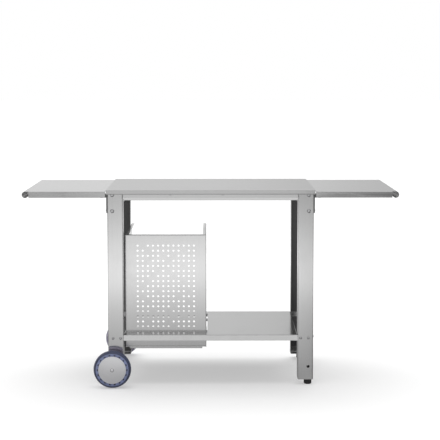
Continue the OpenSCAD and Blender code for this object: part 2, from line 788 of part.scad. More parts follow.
// Slot that the guide pin runs in, from the level position to the folded one. Its round ends
// are a hair wider than the slot, so that they cross its edges.
module guide_slot() {
    a0 = rest_angle - fold_angle;
    far = 3 * guide_r;
    intersection() {
        difference() {
            circle(guide_r + slot_w / 2);
            circle(guide_r - slot_w / 2);
        }
        polygon([
            [0, 0], far * [cos(a0), sin(a0)],
            far * [cos((a0 + rest_angle) / 2), sin((a0 + rest_angle) / 2)],
            far * [cos(rest_angle), sin(rest_angle)]
        ]);
    }
    for (a = [a0, rest_angle]) translate(guide_r * [cos(a), sin(a)]) circle(slot_w / 2 + 2 * eps);
}

module right_front_bracket() { color(steel) hinge_bracket(); }
module right_rear_bracket() { color(steel) mirror([0, 1, 0]) hinge_bracket(); }
module left_front_bracket() { color(steel) mirror([1, 0, 0]) hinge_bracket(); }
module left_rear_bracket() { color(steel) mirror([1, 0, 0]) mirror([0, 1, 0]) hinge_bracket(); }

module bracket_bolts() {
    color(bright) four_corners() for (z = [bracket_bolt_z1, low_bolt_z])
        to_right(hx + bracket_t, bracket_bolt_y, z)
            small_bolt(bracket_t + 2 * leg_t + small_nut_h + nut_end);
}

module bracket_nuts() {
    color(bright) four_corners() for (z = [bracket_bolt_z1, low_bolt_z])
        to_right(hx - 2 * leg_t, bracket_bolt_y, z) hex_nut(small_d, small_nut_h);
}

// Pivot pins: a flat head behind the ear and a shank through the ear and the arm
module pivot_pins() {
    color(bright) four_corners() to_front(pivot_x, ear_y0, pivot_z) {
        translate([0, 0, -3]) cylinder(r = pivot_d / 2 + 2, h = 3);
        cylinder(d = pivot_d, h = bracket_t + arm_t + 2 * part_gap + big_nut_h + nut_end);
    }
}

module pivot_nuts() {
    color(bright) four_corners()
        to_front(pivot_x, arm_y1 + part_gap + big_nut_h, pivot_z) hex_nut(pivot_d, big_nut_h);
}

// Side shelf: sheet with folded front and rear edges, a rolled outer edge and a folded inner one
module side_shelf() {
    flat_l = flange_x1 - shelf_x0;
    translate([shelf_x0, 0, shelf_z]) along_x(flat_l) difference() {
        capped_outline(shelf_d, shelf_flange, bend);
        translate([0, -sheet]) capped_outline(shelf_d - 2 * sheet, shelf_flange, bend - sheet);
    }
    curl_l = shelf_d - 2 * curl_in;
    translate([flange_x1, -curl_l / 2, shelf_z - sheet]) cube([curl_x - flange_x1, curl_l, sheet]);
    translate([curl_x, -curl_l / 2, shelf_z - curl_r]) along_y(curl_l) curl_outline();
    translate([shelf_x0, -(web_hy - bracket_w - 6), shelf_z - inner_flange])
        cube([sheet, 2 * (web_hy - bracket_w - 6), inner_flange - sheet / 2]);
}

// Outline of the rolled edge: it starts level at the top and turns past the bottom
module curl_outline() {
    far = 2 * curl_r;
    intersection() {
        difference() {
            circle(curl_r);
            circle(curl_r - sheet);
        }
        polygon([for (a = [90:-30:-120]) far * [cos(a), sin(a)], [0, 0]]);
    }
}

// Arms under a side shelf: an angle each, with the pivot bore and the seat of the guide pin
module shelf_arms() {
    top = shelf_z - sheet;
    both_faces() difference() {
        union() {
            translate([0, -arm_y1, 0]) along_y(arm_t) arm_outline(top);
            translate([pivot_x - 8, -arm_y0 - arm_flange, top - arm_t]) cube([arm_l, arm_flange, arm_t]);
        }
        to_front(pivot_x, arm_y0, pivot_z) cylinder(r = pivot_d / 2 + run_gap, h = 4 * arm_t, center = true);
        to_front(guide_x(), arm_y0, guide_z()) cylinder(r = guide_d / 2 + run_gap, h = 4 * arm_t, center = true);
    }
}

function guide_x() = pivot_x + guide_r * cos(rest_angle);
function guide_z() = pivot_z + guide_r * sin(rest_angle);

module arm_outline(top) {
    polygon([
        [pivot_x - 8, top], [pivot_x - 8, pivot_z], [pivot_x, pivot_z - 8], [pivot_x + 5, pivot_z - 8],
        [pivot_x + arm_l - 8, top - 9], [pivot_x + arm_l - 8, top]
    ]);
    translate([pivot_x, pivot_z]) circle(8);
    translate([guide_x(), guide_z()]) circle(4.6);
}

// Guide pins: a small head behind the ear and a shank through the slot into the arm
module guide_pins() {
    both_faces() to_front(guide_x(), ear_y0 - part_gap, guide_z()) {
        translate([0, 0, -2]) cylinder(r = guide_d / 2 + 1.4, h = 2);
        cylinder(d = guide_d, h = bracket_t + 2 * part_gap + arm_t);
    }
}

module right_shelf() { color(steel) side_shelf(); }
module left_shelf() { color(steel) mirror([1, 0, 0]) side_shelf(); }
module right_shelf_arms() { color(steel) shelf_arms(); }
module left_shelf_arms() { color(steel) mirror([1, 0, 0]) shelf_arms(); }
module right_guide_pins() { color(bright) guide_pins(); }
module left_guide_pins() { color(bright) mirror([1, 0, 0]) guide_pins(); }

// Axle: a rod through both left legs, tapped at its ends for the hub screws
module axle() {
    color(bright) translate([-bolt_x, 0, axle_z]) rotate([90, 0, 0]) difference() {
        cylinder(d = axle_d, h = 2 * axle_half, center = true);
        for (s = [-1, 1]) translate([0, 0, s * (axle_half - 10)]) cylinder(d = 6.6, h = 20 + eps, center = true);
    }
}

// Axle blocks: one in the foot of each leg, snug between its flanges, bored closely for the axle
module axle_blocks() {
    w = leg_w - 2 * (leg_t + part_gap);
    d = block_end - leg_t - part_gap;
    color(black) four_corners() difference() {
        translate([leg_x - w / 2, part_gap - web_hy, axle_z - block_h / 2]) linear_extrude(block_h)
            rounded_rect(w, d, leg_bend - leg_t + 0.5);
        to_front(bolt_x, hy, axle_z) cylinder(r = axle_d / 2 + run_gap, h = 3 * leg_flange, center = true);
    }
}

// Place of a wheel: local Z points away from the cart and its origin is the wheel's centre
module front_wheel_place() { to_front(-bolt_x, hy + wheel_off, axle_z) children(); }
module rear_wheel_place() { mirror([0, 1, 0]) front_wheel_place() children(); }

module both_wheels() {
    front_wheel_place() children();
    rear_wheel_place() children();
}

module axle_spacers() {
    color(bright) both_wheels() translate([0, 0, -wheel_off])
        spacer(wheel_off + hub_in - bush_flange - part_gap, axle_d);
}

// Retaining rings on the axle, behind the blocks
module axle_rings() {
    color(bright) both_wheels() translate([0, 0, -wheel_off - block_end - part_gap - 1.5]) spacer(1.5, axle_d);
}

module hub_washers() {
    color(bright) both_wheels() translate([0, 0, axle_half - hy - wheel_off]) difference() {
        cylinder(r = bush_r, h = 1.5);
        translate([0, 0, -1]) cylinder(r = 4 + bolt_gap, h = 4);
    }
}

// Hub screws: a head outside the cap, a shoulder through cap and washer, and a thread in the axle
module hub_screws() {
    end = axle_half - hy - wheel_off;
    face = cap_face() + part_gap;
    color(bright) both_wheels() {
        translate([0, 0, face]) domed_bolt(8, 6.5, 3, face - end);
        translate([0, 0, end - 15]) cylinder(d = 6.4, h = 15 + eps);
    }
}

function cap_face() = rim_face + cap_t + cap_bulge;

// Tyre: a rounded tread on the rim
module tyre() {
    crown = wheel_d / 2 * 0.32;
    rotate_extrude() intersection() {
        translate([rim_r1, -tyre_w / 2]) square([tyre_h + 1, tyre_w]);
        translate([wheel_d / 2 - crown, 0]) circle(crown);
    }
}

// Wheel core: hub, web, rim with pockets in its outer face, and ribs on its inner side
module wheel_core() {
    difference() {
        union() {
            rotate_extrude() {
                translate([rim_r0, -rim_face]) square([rim_r1 - rim_lip - rim_r0, 2 * rim_face]);
                translate([rim_r1 - rim_lip, rim_lip - rim_face]) square([rim_lip, 2 * (rim_face - rim_lip)]);
                for (y = [rim_lip - rim_face, rim_face - rim_lip]) translate([rim_r1 - rim_lip, y]) circle(rim_lip);
                translate([bush_r, -2]) square([rim_r0 - bush_r + 1, 4]);
                translate([bush_r, hub_in]) square([hub_r - bush_r, hub_out - hub_in]);
            }
            for (i = [0:ribs - 1]) rotate([0, 0, i * 360 / ribs])
                translate([hub_r - 1, -1.5, -rim_face + 3]) cube([rim_r0 - hub_r + 2, 3, rim_face - 3]);
        }
        for (i = [0:pockets - 1]) rotate([0, 0, i * 360 / pockets])
            translate([cap_d / 2 + 1.6, -pocket_w / 2, rim_face - pocket_depth])
                linear_extrude(pocket_depth + 1) rounded_rect(pocket_h, pocket_w, 1.8);
    }
}

// Bushes: a flanged sleeve pressed into each end of the hub
module wheel_bushes() {
    for (end = [[hub_in, 1], [hub_out, -1]]) translate([0, 0, end[0]]) mirror([0, 0, end[1] > 0 ? 0 : 1])
        difference() {
            union() {
                translate([0, 0, -bush_flange]) cylinder(r = hub_r - 1, h = bush_flange);
                cylinder(r = bush_r - run_gap, h = 11);
            }
            translate([0, 0, -5]) cylinder(r = axle_d / 2 + run_gap, h = 20);
        }
}

// Hub cap: a thin dome whose rim sits on the wheel and whose skirt goes inside it
module hub_cap() {
    edge_r = cap_d / 2;
    ball = (edge_r * edge_r + cap_bulge * cap_bulge) / (2 * cap_bulge);
    rotate_extrude() {
        difference() {
            intersection() {
                translate([0, rim_face + cap_t + cap_bulge - ball]) circle(ball, $fn = 1440);
                translate([0, rim_face]) square([edge_r, cap_t + cap_bulge + 1]);
            }
            translate([0, rim_face + cap_bulge - ball]) circle(ball, $fn = 1440);
            square([4 + bolt_gap, 4 * rim_face]);
        }
        translate([rim_r0 - part_gap - cap_t, rim_face - 5]) square([cap_t, 5 + cap_t / 2]);
    }
}

module front_tyre() { color(blue) front_wheel_place() tyre(); }
module front_wheel_core() { color(rim_blue) front_wheel_place() wheel_core(); }
module front_wheel_bushes() { color(black) front_wheel_place() wheel_bushes(); }
module front_hub_cap() { color(bright) front_wheel_place() hub_cap(); }
module rear_tyre() { color(blue) rear_wheel_place() tyre(); }
module rear_wheel_core() { color(rim_blue) rear_wheel_place() wheel_core(); }
module rear_wheel_bushes() { color(black) rear_wheel_place() wheel_bushes(); }
module rear_hub_cap() { color(bright) rear_wheel_place() hub_cap(); }

// Foot: a rubber plug with a rounded lower edge and a recess for its bolt
module foot() {
    r = foot_d / 2;
    edge = 4;
    translate([bolt_x, foot_y(), 0]) difference() {
        rotate_extrude() {
            square([r - edge, foot_h]);
            translate([0, edge]) square([r, foot_h - edge]);
            translate([r - edge, edge]) circle(edge);
        }
        translate([0, 0, -1]) cylinder(r = big_d * 0.95, h = foot_h - 8 + 1);
        cylinder(r = big_d / 2 + run_gap, h = foot_h + 1);
    }
}

module front_foot() { color(black) foot(); }
module rear_foot() { color(black) mirror([0, 1, 0]) foot(); }

module foot_bolts() {
    color(bright) both_faces() translate([bolt_x, foot_y(), foot_h - 8]) {
        translate([0, 0, -5]) cylinder(r = big_d * 0.8, h = 5);
        cylinder(d = big_d, h = 8 + leg_t + big_nut_h + nut_end);
    }
}

module foot_nuts() {
    color(bright) both_faces() translate([bolt_x, foot_y(), foot_h + leg_t + big_nut_h])
        hex_nut(big_d, big_nut_h);
}

leg_front_left();
leg_front_right();
leg_rear_left();
leg_rear_right();
left_end_rail();
right_end_rail();
front_top_rail();
rear_top_rail();
top_plate();
top_plate_nuts();
rail_screws();
rail_bolts();
rail_nuts();
leg_top_bolts();
leg_top_nuts();
lower_shelf();
shelf_bolts();
shelf_nuts();
bottle_front_panel();
bottle_side_left();
bottle_side_right();
bottle_tray();
panel_rivets();
bay_bolts();
bay_spacers();
bay_nuts();
tray_bolts();
tray_nuts();
left_front_bracket();
left_rear_bracket();
right_front_bracket();
right_rear_bracket();
bracket_bolts();
bracket_nuts();
pivot_pins();
pivot_nuts();
left_shelf();
left_shelf_arms();
left_guide_pins();
right_shelf();
right_shelf_arms();
right_guide_pins();
axle();
axle_blocks();
axle_spacers();
axle_rings();
hub_screws();
hub_washers();
front_tyre();
front_wheel_core();
front_wheel_bushes();
front_hub_cap();
rear_tyre();
rear_wheel_core();
rear_wheel_bushes();
rear_hub_cap();
front_foot();
rear_foot();
foot_bolts();
foot_nuts();
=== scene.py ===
"""Grill cart: the finish of its sheet steel, its tyres, feet and threaded bolts, and the studio."""

import json
from math import pi, radians

import bpy
import numpy as np
from bpy.props import FloatProperty, FloatVectorProperty, IntProperty, PointerProperty
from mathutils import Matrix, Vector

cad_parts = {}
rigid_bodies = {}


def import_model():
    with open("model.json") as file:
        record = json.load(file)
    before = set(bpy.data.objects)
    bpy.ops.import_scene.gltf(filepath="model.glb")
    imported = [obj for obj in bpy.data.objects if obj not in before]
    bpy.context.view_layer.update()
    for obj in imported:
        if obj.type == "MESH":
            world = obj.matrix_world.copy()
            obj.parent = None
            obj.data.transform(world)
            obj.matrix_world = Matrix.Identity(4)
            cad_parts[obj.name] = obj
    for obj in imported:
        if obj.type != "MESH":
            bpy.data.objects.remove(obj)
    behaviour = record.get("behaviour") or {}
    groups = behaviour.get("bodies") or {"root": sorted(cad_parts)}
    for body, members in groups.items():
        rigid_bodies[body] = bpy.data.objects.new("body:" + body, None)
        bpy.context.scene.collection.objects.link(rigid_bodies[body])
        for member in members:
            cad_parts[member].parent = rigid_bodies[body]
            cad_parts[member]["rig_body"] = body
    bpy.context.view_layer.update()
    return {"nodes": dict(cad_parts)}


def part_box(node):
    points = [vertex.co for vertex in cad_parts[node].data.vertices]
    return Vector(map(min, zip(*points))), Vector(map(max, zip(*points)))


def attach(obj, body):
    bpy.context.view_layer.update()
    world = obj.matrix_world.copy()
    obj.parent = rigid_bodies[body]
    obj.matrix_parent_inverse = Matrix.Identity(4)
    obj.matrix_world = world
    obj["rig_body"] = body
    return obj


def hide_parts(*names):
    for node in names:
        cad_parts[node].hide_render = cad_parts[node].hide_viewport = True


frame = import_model()

bl_info = {
    "name": "Grill Cart",
    "version": (1, 0, 0),
    "blender": (4, 5, 0),
    "location": "View3D > Sidebar > Grill Cart",
    "description": "Dresses the packed grill cart: steel finishes, tyres, feet, bolts and studio",
    "category": "Object",
}

MM = 0.001
NODES = frame["nodes"]
LEG_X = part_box("leg_front_right")[1].x  # outer side of the right legs
RIM = "Rim"  # attribute that is one at the rim of a bolt's head
SHARP = radians(38)  # angle between two faces from which their edge stays sharp


def colour(name, text, default):
    """Colour property in linear RGB."""
    return FloatVectorProperty(name=name, description=text, default=default, subtype="COLOR",
                               min=0.0, max=1.0)


def length(name, text, millimetres):
    """Length property, given in millimetres and kept in metres."""
    return FloatProperty(name=name, description=text, default=millimetres * MM, unit="LENGTH")


def share(name, text, default, top=1.0):
    """Plain number from nought to top."""
    return FloatProperty(name=name, description=text, default=default, min=0.0, max=top)


def angle(name, text, degrees):
    """Angle property, given in degrees and kept in radians."""
    return FloatProperty(name=name, description=text, default=radians(degrees), subtype="ANGLE")


def grey(level):
    """Colour with the same level in all three channels."""
    return level, level, level


class SteelSettings(bpy.types.PropertyGroup):
    """Finish of the folded sheet steel and the fasteners"""

    leg_colour: colour("Leg colour", "Reflected colour of the legs", grey(0.71))
    rail_colour: colour("Rail colour", "Reflected colour of the rails and hinge arms", grey(0.63))
    plate_colour: colour("Plate colour", "Reflected colour of the plates and shelves", grey(0.58))
    # Bracket colour: painted shade, the brackets darkened to the shade they stand in
    bracket_shade_colour: colour("Bracket colour", "Reflected colour of the hinge brackets", grey(0.20))
    bay_colour: colour("Bay colour", "Reflected colour of the bottle bay", grey(0.68))
    bolt_colour: colour("Bolt colour", "Reflected colour of the bolts and nuts", (0.62, 0.62, 0.63))
    cap_colour: colour("Hub cap colour", "Reflected colour of the hub caps", (0.97, 0.97, 0.99))
    # Hollow tone: painted shade in the legs' channels, the shelves' rolled edges and along the skirt's
    # lower edge; the hollow roughness is the rougher unpolished sheet there
    hollow_shade_tone: share("Hollow tone", "Tone of the unpolished inner sides of folded sheet", 0.26)
    hollow_roughness: share("Hollow roughness", "Roughness of those unpolished inner sides", 0.48)
    # Edge tone and width: a painted shade line along folds and cut edges, standing in for the darker
    # reflection in a bend
    fold_shade_tone: share("Edge tone", "Tone of folds and cut edges, which brushing leaves duller", 0.80)
    edge_w: length("Edge width", "Width of the duller line along folds and cut edges", 2.6)
    shelf_lean: angle("Lower shelf lean", "How far the lower shelf's folds spring back", 4.6)
    # Lip tone: a painted highlight on the lower shelf's upright folds
    lip_highlight_tone: share("Lip tone", "Tone of the lower shelf's folds, polished by the press", 1.20, 2.0)
    roughness: share("Roughness", "Mean roughness of the brushed sheet", 0.20)
    bolt_roughness: share("Bolt roughness", "Roughness of the turned and pressed fasteners", 0.16)
    cap_roughness: share("Hub cap roughness", "Roughness of the turned hub caps", 0.34)
    # Rim tone: painted shade in a ring round a bolt's or screw's head
    rim_shade_tone: share("Rim tone", "Tone of the dirt round a bolt's head", 0.30)
    line_w: length("Brush line width", "Distance between two brush lines", 0.6)
    line_l: length("Brush line length", "Length of one brush line", 60.0)
    tone: share("Tone spread", "How far the brush lines differ in tone", 0.07)
    relief: length("Brush relief", "Depth of the brush lines", 0.0012)
    stretch: share("Sheen stretch", "How far the sheen is drawn out across the brush lines", 0.75)


class WheelSettings(bpy.types.PropertyGroup):
    """Tyres and wheel cores"""

    tyre_colour: colour("Tyre colour", "Colour of the tyre rubber", (0.054, 0.065, 0.124))
    core_colour: colour("Core colour", "Colour of the moulded wheel core", (0.225, 0.262, 0.44))
    # Bloom colour: painted light, a lighter lavender on the wheels' inner sides
    inner_light_colour: colour("Bloom colour", "Colour of the wheels' inner sides", (0.42, 0.39, 0.50))
    bush_colour: colour("Bush colour", "Colour of the plain bushes", (0.022, 0.022, 0.024))
    dust_colour: colour("Dust colour", "Colour of the dust on rubber", (0.30, 0.29, 0.28))
    tyre_roughness: share("Tyre roughness", "Roughness of the tyre rubber", 0.40)
    core_roughness: share("Core roughness", "Roughness of the wheel core", 0.30)
    bush_roughness: share("Bush roughness", "Roughness of the bushes and axle blocks", 0.60)
    # Pocket tone: painted shade in the rim's pockets
    pocket_shade_tone: share("Pocket tone", "Tone of the rim inside its pockets", 0.12)
    crown: length("Crown radius", "Radius of the tread across its width", 24.0)
    groove_w: length("Groove width", "Width of a tread groove", 2.4)
    groove_depth: length("Groove depth", "Depth of a tread groove", 1.3)
    groove_gap: length("Groove gap", "Distance between two tread grooves", 7.0)
    grooves: IntProperty(name="Grooves", description="Number of tread grooves", default=3,
                         min=0, max=5)
    step: length("Sidewall step", "Depth of the shallow ring in the sidewall", 0.5)


class FootSettings(bpy.types.PropertyGroup):
    """Rubber feet"""

    colour: colour("Rubber colour", "Colour of the feet", (0.018, 0.018, 0.019))
    roughness: share("Rubber roughness", "Roughness of the feet", 0.52)
    ribs: IntProperty(name="Ribs", description="Number of upright ribs round a foot", default=26,
                      min=8, max=48)
    rib_depth: length("Rib depth", "Depth of the flutes between the ribs", 0.9)
    collar: length("Collar", "Height of the plain collar at the top of a foot", 3.0)
    edge: length("Edge radius", "Radius of a foot's lower edge", 4.0)
    socket_depth: length("Socket depth", "Height of the rubber above the bolt's head", 8.0)


class ThreadSettings(bpy.types.PropertyGroup):
    """Threads on the bolts"""

    depth: share("Thread depth", "Depth of a thread as a share of its pitch", 0.55)
    pitch: share("Pitch", "Pitch of a thread as a share of the bolt's diameter", 0.16)
    length: length("Thread length", "Length of thread that is cut on a bolt's end", 8.0)


class StudioSettings(bpy.types.PropertyGroup):
    """Camera, floor and light"""

    camera_place: FloatVectorProperty(name="Camera place", description="Where the camera stands",
                                      default=(0.0072, -4.696, 1.2689), subtype="TRANSLATION")
    camera_pitch: angle("Camera pitch", "How far the camera looks down", 4.288)
    camera_yaw: angle("Camera turn", "How far the camera turns to the right", 0.387)
    lens: FloatProperty(name="Lens", description="Focal length on a 36 mm sensor", default=92.31)
    rise: FloatProperty(name="Rise", description="Upright shift of the lens", default=-0.15)
    sky: share("Sky", "Level of the even light from all round", 0.46, 2.0)
    lamp: share("Lamp", "Level of the wide lamp overhead", 0.80, 5.0)
    lamp_size: angle("Lamp size", "Angle that the lamp fills overhead", 62)
    lamp_tilt: angle("Lamp tilt", "How far behind the cart the lamp stands", 15)
    floor_colour: colour("Floor colour", "Colour of the floor", grey(1.0))
    floor_glow: share("Floor glow", "Share of the floor that stays white in shadow", 0.40)


GROUPS = {
    "cart_steel": SteelSettings,
    "cart_wheels": WheelSettings,
    "cart_feet": FootSettings,
    "cart_threads": ThreadSettings,
    "cart_studio": StudioSettings,
}


# Meshes

def closed_surface(points, ring=False, poles=()):
    """Corners and faces of a grid of points that closes round its first direction.

    Point (i, j) joins (i + 1, j) and (i, j + 1). A ring closes along its second direction too.
    Otherwise each pole is one more corner, where the first or last row runs together.
    """
    around, along = points.shape[:2]
    here = np.arange(around * along).reshape(around, along)
    if ring:
        after = np.roll(here, -1, axis=1)
    else:
        here, after = here[:, :-1], here[:, 1:]
    quads = np.stack([here, np.roll(here, -1, 0), np.roll(after, -1, 0), after], -1)
    corners = points.reshape(-1, 3)
    faces = quads.reshape(-1, 4).tolist()
    for side, pole in enumerate(poles):
        rim = np.arange(around) * along + (along - 1) * side
        fan = np.stack([np.roll(rim, -1), rim, np.full(around, len(corners))], -1)
        faces += (fan if side == 0 else fan[:, ::-1]).tolist()
        corners = np.vstack([corners, pole])
    return corners, faces


def enclosed_volume(corners, faces):
    """Volume inside a closed surface: a sixth of the sum of a . (b x c) over its triangles."""
    total = 0.0
    for size in {len(face) for face in faces}:
        block = np.array([face for face in faces if len(face) == size])
        for k in range(1, size - 1):
            a, b, c = corners[block[:, 0]], corners[block[:, k]], corners[block[:, k + 1]]
            total += np.einsum("ij,ij->", a, np.cross(b, c)) / 6
    return total


def make_piece(name, surfaces, node, material):
    """Object of one or more closed surfaces, which replaces a CAD node and rides on its body.

    A surface may bring one more array, which says how near each corner is to a bolt head's rim.
    """
    corners, faces, rims, start = [], [], [], 0
    for points, cells, *rim in surfaces:
        if enclosed_volume(points, cells) < 0:
            cells = [cell[::-1] for cell in cells]
        corners.append(points)
        rims += rim
        faces += [[start + corner for corner in cell] for cell in cells]
        start += len(points)
    mesh = bpy.data.meshes.new(name)
    mesh.from_pydata(np.vstack(corners), [], faces)
    mesh.polygons.foreach_set("use_smooth", [True] * len(faces))
    mesh.set_sharp_from_angle(angle=SHARP)
    mesh.materials.append(material)
    if rims:
        mesh.attributes.new(RIM, "FLOAT", "POINT").data.foreach_set("value", np.concatenate(rims))
    piece = bpy.data.objects.new(name, mesh)
    bpy.context.scene.collection.objects.link(piece)
    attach(piece, NODES[node]["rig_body"])
    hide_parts(node)
    return piece


def revolve(radius, height, turns):
    """Grid of points at (r cos t, r sin t, h), for radii and heights that may change with t."""
    turns = turns[:, None]
    shape = np.broadcast_shapes(np.shape(radius), turns.shape, np.shape(height))
    radius, height = np.broadcast_to(radius, shape), np.broadcast_to(height, shape)
    return np.stack([radius * np.cos(turns), radius * np.sin(turns), height], -1)


def set_upright(points, origin, axis):
    """The points' local Z turned to a world axis, 0 to 2 or its opposite as ~axis, at the origin."""
    away = -1.0 if axis < 0 else 1.0
    axis = ~axis if axis < 0 else axis
    placed = np.empty_like(points)
    placed[..., axis] = points[..., 2] * away
    placed[..., (axis + 1) % 3] = points[..., 0]
    placed[..., (axis + 2) % 3] = points[..., 1]
    return placed + np.array(origin)


def tyre_surface(node, rim_node, s):
    """Closed ring round the wheel's rim, in the tyre's own box.

    Across the tread y = c sin a and r = R - c + c cos a, for the crown radius c and outer radius
    R, less exp(-((y - g) / w)^4) times the depth for each groove at y = g. The sidewalls run
    straight in to the rim with a shallow step, and a bed on the rim closes the ring.
    """
    low, high = (np.array(v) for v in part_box(node))
    rim_low, rim_high = (np.array(v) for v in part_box(rim_node))
    centre, outer = (low + high) / 2, (high[0] - low[0]) / 2
    inner, half = (rim_high[0] - rim_low[0]) / 2, (high[1] - low[1]) / 2
    lean = np.arcsin(half / s.crown) * np.linspace(-1, 1, 97)
    across = s.crown * np.sin(lean)
    reach = outer - s.crown + s.crown * np.cos(lean)
    for k in range(s.grooves):
        place = (k - (s.grooves - 1) / 2) * s.groove_gap
        reach = reach - s.groove_depth * np.exp(-((across - place) / (s.groove_w / 2)) ** 4)
    wall = np.linspace(reach[-1], inner, 14)[1:]
    part = (wall - inner) / (reach[-1] - inner)
    side = half - s.step * np.clip(1.6 - 4 * np.abs(part - 0.5), 0, 1)
    bed = np.linspace(half, -half, 8)[1:-1]
    radius = np.concatenate([reach, wall, np.full(len(bed), inner), wall[::-1]])
    height = np.concatenate([across, side, bed, -side[::-1]])
    grid = revolve(radius[None, :], height[None, :], np.linspace(0, 2 * pi, 144, endpoint=False))
    return closed_surface(set_upright(grid, centre, 1), ring=True)


def foot_surface(node, bolt_node, s):
    """Fluted rubber plug in the foot's own box, with a socket for the bolt's head.

    Outside r = R - d (1 - cos(n t)) / 2 between the rounded lower edge and the collar, for n ribs
    of depth d. The socket and the bore close the ring.
    """
    low, high = (np.array(v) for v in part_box(node))
    centre, outer, tall = (low + high) / 2, (high[0] - low[0]) / 2, high[2] - low[2]
    bore_gap, socket_gap, chamfer, ring_w = 0.06 * MM, 1.2 * MM, 0.6 * MM, 2.4 * MM
    head_r, shank_r = bolt_radii(bolt_node)
    bore, socket, roof = shank_r + bore_gap, head_r + socket_gap, tall - s.socket_depth
    turn = np.linspace(-pi / 2, 0, 9)
    base_r, base_z = outer - s.edge + s.edge * np.cos(turn), s.edge + s.edge * np.sin(turn)
    wall_z = np.linspace(s.edge, tall - chamfer, 26)[1:]
    in_r = np.array([outer - chamfer, outer - ring_w, bore + MM, bore, bore, socket, socket])
    in_z = np.array([tall, tall, tall, tall, roof, roof, 0.0])
    radius = np.concatenate([base_r, np.full(len(wall_z), outer), in_r])
    height = np.concatenate([base_z, wall_z, in_z])
    flute_low, flute_high = 1.5 * MM, tall - s.collar
    fade = np.clip((height - flute_low) / (2 * MM), 0, 1) * np.clip((flute_high - height) / MM, 0, 1)
    fade = fade * (radius > outer - s.edge)
    turns = np.linspace(0, 2 * pi, s.ribs * 10, endpoint=False)
    flute = s.rib_depth * (1 - np.cos(s.ribs * turns)) / 2
    grid = revolve(radius - flute[:, None] * fade, height[None, :], turns)
    return closed_surface(set_upright(grid, (centre[0], centre[1], low[2]), 2), ring=True)


# Bolts

def solids_of(node):
    """Corner sets of a CAD node's separate solids: triangles that share a corner belong together."""
    mesh = NODES[node].data
    corners = np.empty(len(mesh.vertices) * 3)
    mesh.vertices.foreach_get("co", corners)
    cells = np.empty(len(mesh.loops), int)
    mesh.loops.foreach_get("vertex_index", cells)
    corners, same = np.unique(np.round(corners.reshape(-1, 3), 6), axis=0, return_inverse=True)
    cells = same.reshape(-1)[cells].reshape(-1, 3)
    label = np.arange(len(corners))
    while True:
        lowest = np.repeat(label[cells].min(axis=1), 3)
        fresh = label.copy()
        np.minimum.at(fresh, cells.ravel(), lowest)
        fresh = fresh[fresh]
        if np.array_equal(fresh, label):
            break
        label = fresh
    return [corners[label == mark] for mark in np.unique(label)]


def bolt_measures(corners, axis):
    """Origin under the head, outward sense, radii and heights of a bolt along a world axis."""
    low, high = corners.min(0), corners.max(0)
    middle = (low + high) / 2
    across = [i for i in range(3) if i != axis]
    away = np.hypot(*(corners[:, across] - middle[across]).T)
    head_r = away.max()
    near_brim, near_end = 0.9, 0.02 * MM
    brim = corners[away > head_r * near_brim][:, axis]
    sense = 1.0 if brim.mean() > middle[axis] else -1.0
    seat = brim.min() if sense > 0 else brim.max()
    top = high[axis] if sense > 0 else low[axis]
    end = low[axis] if sense > 0 else high[axis]
    shank_r = away[np.abs(corners[:, axis] - end) < near_end].max()
    origin = middle.copy()
    origin[axis] = seat
    return origin, sense, head_r, shank_r, abs(top - seat), abs(seat - end)


def bolt_radii(node):
    """Radii of the head and the shank of an upright bolt."""
    return bolt_measures(solids_of(node)[0], 2)[2:4]


def bolt_surface(corners, axis, s, flat):
    """Bolt in the place and size of a CAD bolt, with a helical thread on its end.

    The dome is a ball cut at the head's low rim, and a flat head has a rounded edge instead. The
    thread is r = R - d (1 + cos(2 pi z / p - t)) / 2, which fades out at both its ends.
    """
    origin, sense, head_r, shank_r, head_h, shank_l = bolt_measures(corners, axis)
    flat_edge, dome_share, end_taper, shade_spread = 0.25, 0.85, 0.6, 2.6
    if flat:
        turn = np.linspace(0, pi / 2, 6)
        soft = head_h * flat_edge
        head = np.stack([head_r - soft + soft * np.sin(turn), head_h - soft + soft * np.cos(turn)])
    else:
        rise = head_h * dome_share
        ball = (head_r ** 2 + rise ** 2) / (2 * rise)
        spread = np.arcsin(head_r / ball) * np.linspace(0.08, 1, 10)
        head = np.stack([ball * np.sin(spread), head_h - ball + ball * np.cos(spread)])
    pitch = shank_r * 2 * s.pitch
    cut = min(s.length, shank_l - pitch)
    rows = max(int(cut / pitch * 7), 8)
    down = np.linspace(cut - shank_l, -shank_l, rows)
    radius = np.concatenate([head[0], [head_r, shank_r], np.full(rows, shank_r)])
    height = np.concatenate([head[1], [0.0, 0.0], down])
    above_end = (height + shank_l) / pitch
    fade = np.clip(above_end, 0, 1) * np.clip((cut - shank_l - height) / pitch, 0, 1)
    turns, eps = np.linspace(0, 2 * pi, 24, endpoint=False), 0.01 * MM
    wave = (1 + np.cos(2 * pi * height / pitch - turns[:, None])) / 2
    taper = np.clip(1 - above_end, 0, 1) * (height < 0) * pitch * end_taper
    grid = revolve(radius - wave * fade * pitch * s.depth - taper, height[None, :], turns)
    poles = np.array([[0, 0, head_h], [0, 0, -shank_l]])
    # Painted shade: one at the head's low rim, fading in towards its middle
    near_rim = np.clip(radius / head_r * shade_spread - shade_spread + 1, 0, 1) * (height > -eps)
    side = axis if sense > 0 else ~axis
    grid, poles = set_upright(grid, origin, side), set_upright(poles, origin, side)
    corners, faces = closed_surface(grid, poles=poles)
    return corners, faces, np.concatenate([np.tile(near_rim, len(turns)), [0.0, 0.0]])


# Materials

def feed(tree, node, feeds):
    """The node, with its inputs set to values or linked to outputs."""
    for key, value in feeds.items():
        if isinstance(value, bpy.types.NodeSocket):
            tree.links.new(value, node.inputs[key])
        else:
            node.inputs[key].default_value = value
    return node


def add(tree, kind, feeds=None, **settings):
    """New node of a kind, with its settings and its inputs."""
    node = tree.nodes.new("ShaderNode" + kind)
    for key, value in settings.items():
        setattr(node, key, value)
    return feed(tree, node, feeds or {})


